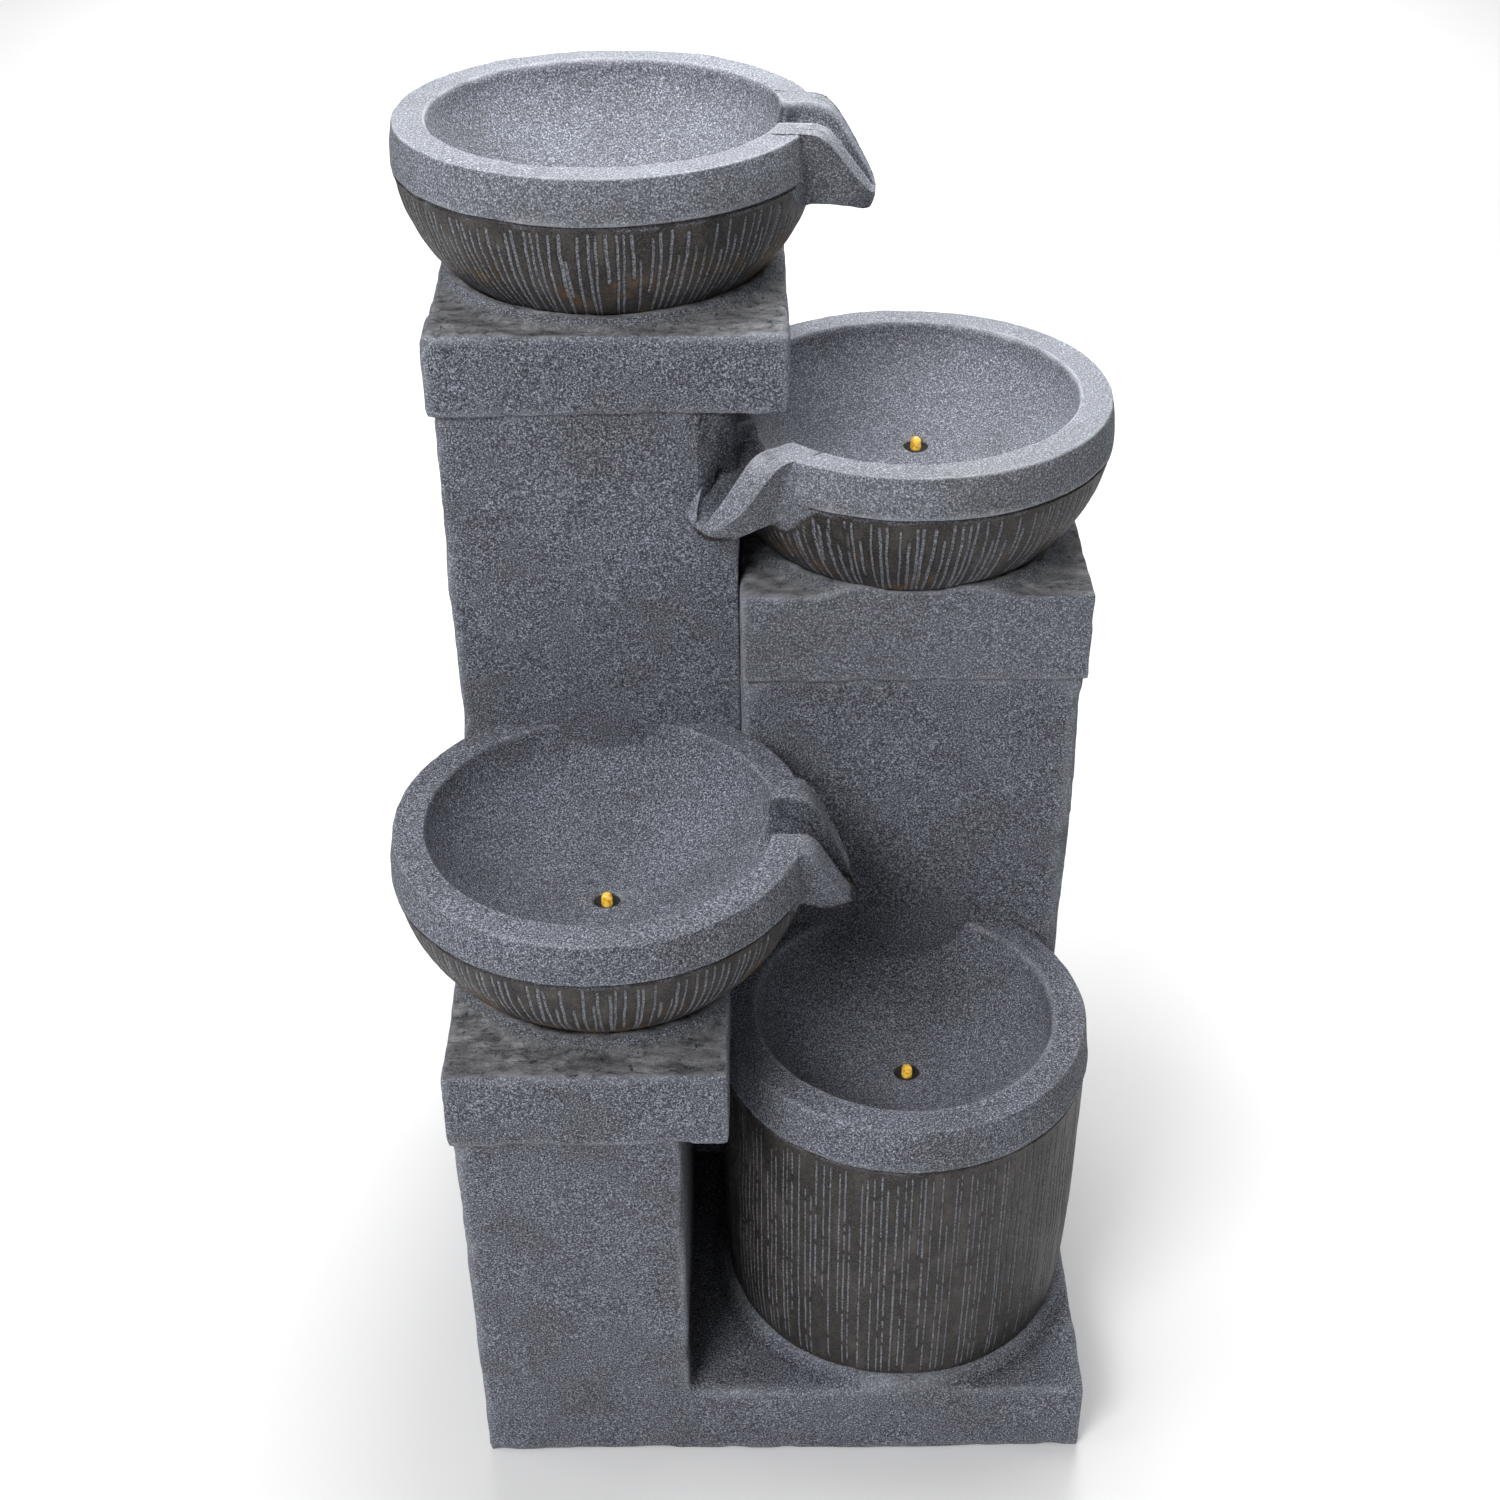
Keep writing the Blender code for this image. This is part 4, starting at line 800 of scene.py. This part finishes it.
def make_basin(node, centre, heading, rings, cutters, seed, bottom, pale, pot=False):
    """Roughen, score, place and cut one basin.

    heading turns its spout, in degrees. bottom is how far down the scored lines reach, and
    pale how much lighter the bare stone and its worn edges are painted, most on the rim's flat top: painted
    light.
    """
    centre = np.array(centre)
    inner_r, depth, band_h = (POT_MOUTH_R, POT_DEPTH, POT_BAND_H) if pot else (MOUTH_R, BOWL_DEPTH, BAND_H)
    spacing, half_width = (0.0048, 0.00058) if pot else (0.0053, 0.00090)
    piece = skin("basin_" + node, rings)
    mesh = piece.data
    local = read_points(mesh)

    def marks(points):
        """Masks for glaze, scored lines and the groove's painted shade at points in the basin's own frame.
        """
        radius = np.hypot(points[:, 0], points[:, 1])
        down = -points[:, 2]
        inside_r = inner_r * np.sqrt(np.clip(1 - (down / depth) ** 2, 0, 1))
        outside = (radius > inside_r + 0.007) & (radius > 0.078)
        border = np.full(len(points), band_h + 0.0012)
        if not pot:
            turn = np.abs(np.arctan2(points[:, 1], points[:, 0]))
            border += (0.0490 - band_h) * (1 - smoothstep(0.22, 0.50, turn))
        under = border + 0.0005 * value_noise(points, 0.01, seed + 60)
        glaze = outside * smoothstep(under, under + 0.0010, down)
        lines = scored_lines(points, band_h + 0.004, bottom, spacing, half_width, seed, pot)
        # the groove under the band, which the material paints dark as shade
        slot = outside * (border < band_h + 0.0060) * np.exp(-((down - band_h - 0.0011) / 0.0008) ** 4)
        return glaze, lines * outside * smoothstep(border + 0.002, border + 0.0045, down), slot

    normals = read_normals(mesh)
    shift = layered(local, BASIN_LAYERS, seed) - 0.0007 * marks(local)[1]
    local = local + normals * shift[:, None]
    spin = spin_about_z(heading)
    write_points(mesh, local @ spin.T + centre)
    if cutters:
        subtract(piece, cutters)
        mesh = piece.data
    placed = read_points(mesh)
    local = (placed - centre) @ spin
    glaze, lines, slot = marks(local)
    proud = convexity(mesh, 2)
    patchy = 0.6 + 0.4 * value_noise(placed, 0.010, seed + 50)
    top_face = smoothstep(-0.0012, -0.0002, local[:, 2])
    thin = np.exp(-((-local[:, 2] - band_h - 0.0030) / 0.0009) ** 2) * (patchy > 0.62)
    # pale bowls get stronger edge lightening, and their bare stone, most of all the rim top, is painted
    # lighter: painted light
    edge_lightening = 1.0 if pale else 0.4
    worn = smoothstep(0.10, 0.60, proud) * patchy * edge_lightening + pale * (0.35 + 0.65 * top_face)
    store(mesh, "wear_and_painted_light", np.clip(worn * (1 - glaze), 0, 1))
    # painted shade in the groove under the band
    store(mesh, "groove", slot * 0.70)
    # painted shade in the spout's channel
    store(mesh, "painted_channel_shade", np.zeros(len(local)) if pot else channel_shade(local))
    store(mesh, "glaze", glaze * (1 - 0.7 * thin))
    store(mesh, "score", lines)
    store(mesh, "amber", glaze * smoothstep(0.045, 0.075, -local[:, 2]) * (0.0 if pot else 1.0))
    dress(piece, BASIN, [node])


def middle_of(node):
    low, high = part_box(node)
    return (low + high) / 2


def lamp_hole(lamp, rim_z):
    """Cutter for the hole in a basin's floor that a lamp's grommet fills."""
    place = middle_of("led_grommet_" + lamp)
    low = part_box("led_grommet_" + lamp)[0].z
    return cutter_rod(place.x, place.y, low - 0.0200, rim_z - 0.0300, 0.0088)


def make_basins():
    """Bowls and pot, each cut back to where it enters the pillars behind it."""
    tall_low, tall_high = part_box("tall_pillar")
    middle_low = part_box("middle_pillar")[0]
    far, over, under = 0.4, 0.6, 0.2       # well past any basin, and above and below the lower bowl
    outlet = middle_of("outlet_fitting")
    strainer = middle_of("return_strainer")

    def depth_to_foot(node, centre):
        return centre[2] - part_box(node)[0].z

    # The upper bowls' pale values, 0.28 and 0.34, paint their rims and bare stone lighter: painted light.
    make_basin("top_bowl", TOP_BOWL, TOP_TURN,
               bowl_rings(depth_to_foot("top_bowl", TOP_BOWL), 0.0023),
               [cutter_rod(outlet.x, outlet.y, 0.70, 0.77, 0.0086)], 500, 0.094, 0.28)
    make_basin("middle_bowl", MIDDLE_BOWL, MIDDLE_TURN,
               bowl_rings(depth_to_foot("middle_bowl", MIDDLE_BOWL), 0.0008, MIDDLE_DROOP),
               [lamp_hole("middle", MIDDLE_BOWL[2]),
                cutter_box((-far, tall_low.y + BURY, 0.3), (tall_high.x - BURY, far, 0.575))],
               520, 0.094, 0.34)
    make_basin("lower_bowl", LOWER_BOWL, LOWER_TURN,
               bowl_rings(depth_to_foot("lower_bowl", LOWER_BOWL), -0.0030, LOWER_DROOP),
               [lamp_hole("lower", LOWER_BOWL[2]),
                cutter_box((-far, tall_low.y + BURY, under), (tall_high.x + 0.001, far, over)),
                cutter_box((tall_high.x, middle_low.y + BURY, under), (far, far, over))],
               540, 0.098, 0.0)
    make_basin("catch_pot", POT, 0.0, pot_rings(depth_to_foot("catch_pot", POT)),
               [lamp_hole("pot", POT[2]),
                cutter_rod(strainer.x, strainer.y, 0.2350, 0.26, 0.0096),
                cutter_box((-far, middle_low.y + BURY, 0.0), (far, far, over))],
               560, 0.222, 0.0, pot=True)


# ---------------------------------------------------------------- lamps and fittings
def turned_piece(name, profile, centre, material, node):
    """A profile of (radius, height) points turned about an upright line through a centre."""
    turn = np.linspace(0, 2 * math.pi, 48, endpoint=False)
    radius, height = np.array(profile, float).T
    rings = np.stack([radius[:, None] * np.cos(turn) + centre.x,
                      radius[:, None] * np.sin(turn) + centre.y,
                      np.repeat(height[:, None], len(turn), axis=1)], axis=-1)
    dress(skin(name, rings), material, [node])


def make_lamps():
    """Each lamp: a domed lens on a flange, in a rubber grommet with a raised lip."""
    for label in ("middle", "lower", "pot"):
        grommet = middle_of("led_grommet_" + label)
        low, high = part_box("led_grommet_" + label)
        lens_low, lens_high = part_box("led_lens_" + label)
        radius, seat = (high.x - low.x) / 2 + 0.0012, high.z
        bore = 0.0036
        ring = [(bore, seat - 0.0100), (bore, seat - 0.0022), (bore + 0.0004, seat - 0.0016),
                (bore + 0.0012, seat - 0.0016), (bore + 0.0018, seat - 0.0030),
                (radius - 0.0014, seat - 0.0030), (radius - 0.0006, seat - 0.0004),
                (radius - 0.0001, seat - 0.0006), (radius, seat - 0.0014),
                (radius, low.z), (bore, low.z)]
        turned_piece("grommet_" + label, ring, grommet, RUBBER, "led_grommet_" + label)
        lens_r = (lens_high.x - lens_low.x) / 2 * 1.08
        dome_foot = lens_high.z - 0.0022 - lens_r * 1.05
        dome = [(lens_r * 0.97 * math.sin(angle), dome_foot + lens_r * 1.05 * math.cos(angle))
                for angle in np.radians(np.linspace(3, 90, 14))]
        stem = [(lens_r * 0.97, seat + 0.0002), (lens_r * 1.0, seat - 0.0006), (lens_r, seat - 0.0014),
                (lens_r * 0.9, seat - 0.0018), (lens_r * 0.9, lens_low.z)]
        turned_piece("lamp_" + label, dome + stem, grommet, LENS, "led_lens_" + label)


def dress_cad():
    """CAD nodes that keep their shape get their materials."""
    looks = {"black_plastic": PLASTIC, "black_rubber": RUBBER, "clear_hose": HOSE,
             "white_ceramic": CERAMIC, "magnet_black": FERRITE, "stainless_steel": STEEL,
             "amber_lens": LENS, "granite_stone": STONE, "bowl_stone": BASIN}
    slots = {part["node"]: part["material_slot"] for part in frame["record"]["subparts"]}
    for node, shown in frame["nodes"].items():
        for place in shown.material_slots:
            place.material = looks[slots[node]]


# ---------------------------------------------------------------- studio
def make_studio():
    floor_mesh = bpy.data.meshes.new("floor")
    reach = 6.0
    floor_mesh.from_pydata([(-reach, -reach, 0), (reach, -reach, 0), (reach, reach, 0), (-reach, reach, 0)],
                           [], [(0, 1, 2, 3)])
    floor = linked("floor", floor_mesh)
    floor.location.z = -0.0005
    paper = Look("studio_paper", 0.9)
    paper.finish(paper.ramp(paper.noise(3, 2), ((0.2, 0.89), (0.8, 0.91))))
    floor_mesh.materials.append(paper.material)
    world = bpy.data.worlds.new("studio")
    bpy.context.scene.world = world
    world.use_nodes = True
    world.node_tree.nodes["Background"].inputs["Color"].default_value = (1.0, 1.0, 1.0, 1.0)
    world.node_tree.nodes["Background"].inputs["Strength"].default_value = 0.16
    for name, place, aim, size, power in (("over", (0.05, 0.15, 1.45), (0.05, 0.15, 0.0), 0.5, 8.6),
                                          ("rear", (0.4, 1.6, 1.5), (0.0, 0.0, 0.6), 1.2, 16.0),
                                          ("key", (-0.9, -1.5, 1.9), (0.0, 0.0, 0.45), 0.9, 31.5),
                                          ("left", (-1.4, -0.2, 1.9), (0.0, 0.0, 0.45), 0.9, 8.5),
                                          ("right", (1.4, 0.3, 1.9), (0.0, 0.0, 0.45), 0.9, 2.0),
                                          ("low", (0.15, -1.9, 0.35), (0.0, 0.0, 0.25), 1.2, 3.2),
                                          ("backdrop", (0.0, 3.2, 2.2), (0.0, 3.2, 0.0), 2.5, 96.0)):
        lamp = bpy.data.lights.new(name, "AREA")
        lamp.size = size
        lamp.energy = power
        holder = bpy.data.objects.new(name, lamp)
        holder.location = place
        holder.rotation_euler = (Vector(aim) - Vector(place)).to_track_quat("-Z", "Y").to_euler()
        bpy.context.scene.collection.objects.link(holder)


def make_camera():
    """Camera in front of the fountain, looking down on it."""
    place = Vector((-0.0079, -1.1046, 1.1676))
    pitch, yaw, roll = (math.radians(angle) for angle in (34.186, 0.142, -0.369))
    forward = Vector((math.sin(yaw) * math.cos(pitch), math.cos(yaw) * math.cos(pitch), -math.sin(pitch)))
    level = Vector((math.cos(yaw), -math.sin(yaw), 0.0))
    lift = level.cross(forward)
    right = level * math.cos(roll) + lift * math.sin(roll)
    up = lift * math.cos(roll) - level * math.sin(roll)
    turn = Matrix((right, up, -forward)).transposed().to_4x4()
    camera = bpy.data.cameras.new("camera")
    camera.lens = 49.22
    camera.sensor_width = 36.0
    camera.clip_start = 0.01
    holder = bpy.data.objects.new("camera", camera)
    holder.matrix_world = Matrix.Translation(place) @ turn
    bpy.context.scene.collection.objects.link(holder)
    bpy.context.scene.camera = holder
    bpy.context.scene.view_settings.view_transform = "Standard"


make_blocks()
make_basins()
make_lamps()
dress_cad()
make_studio()
make_camera()
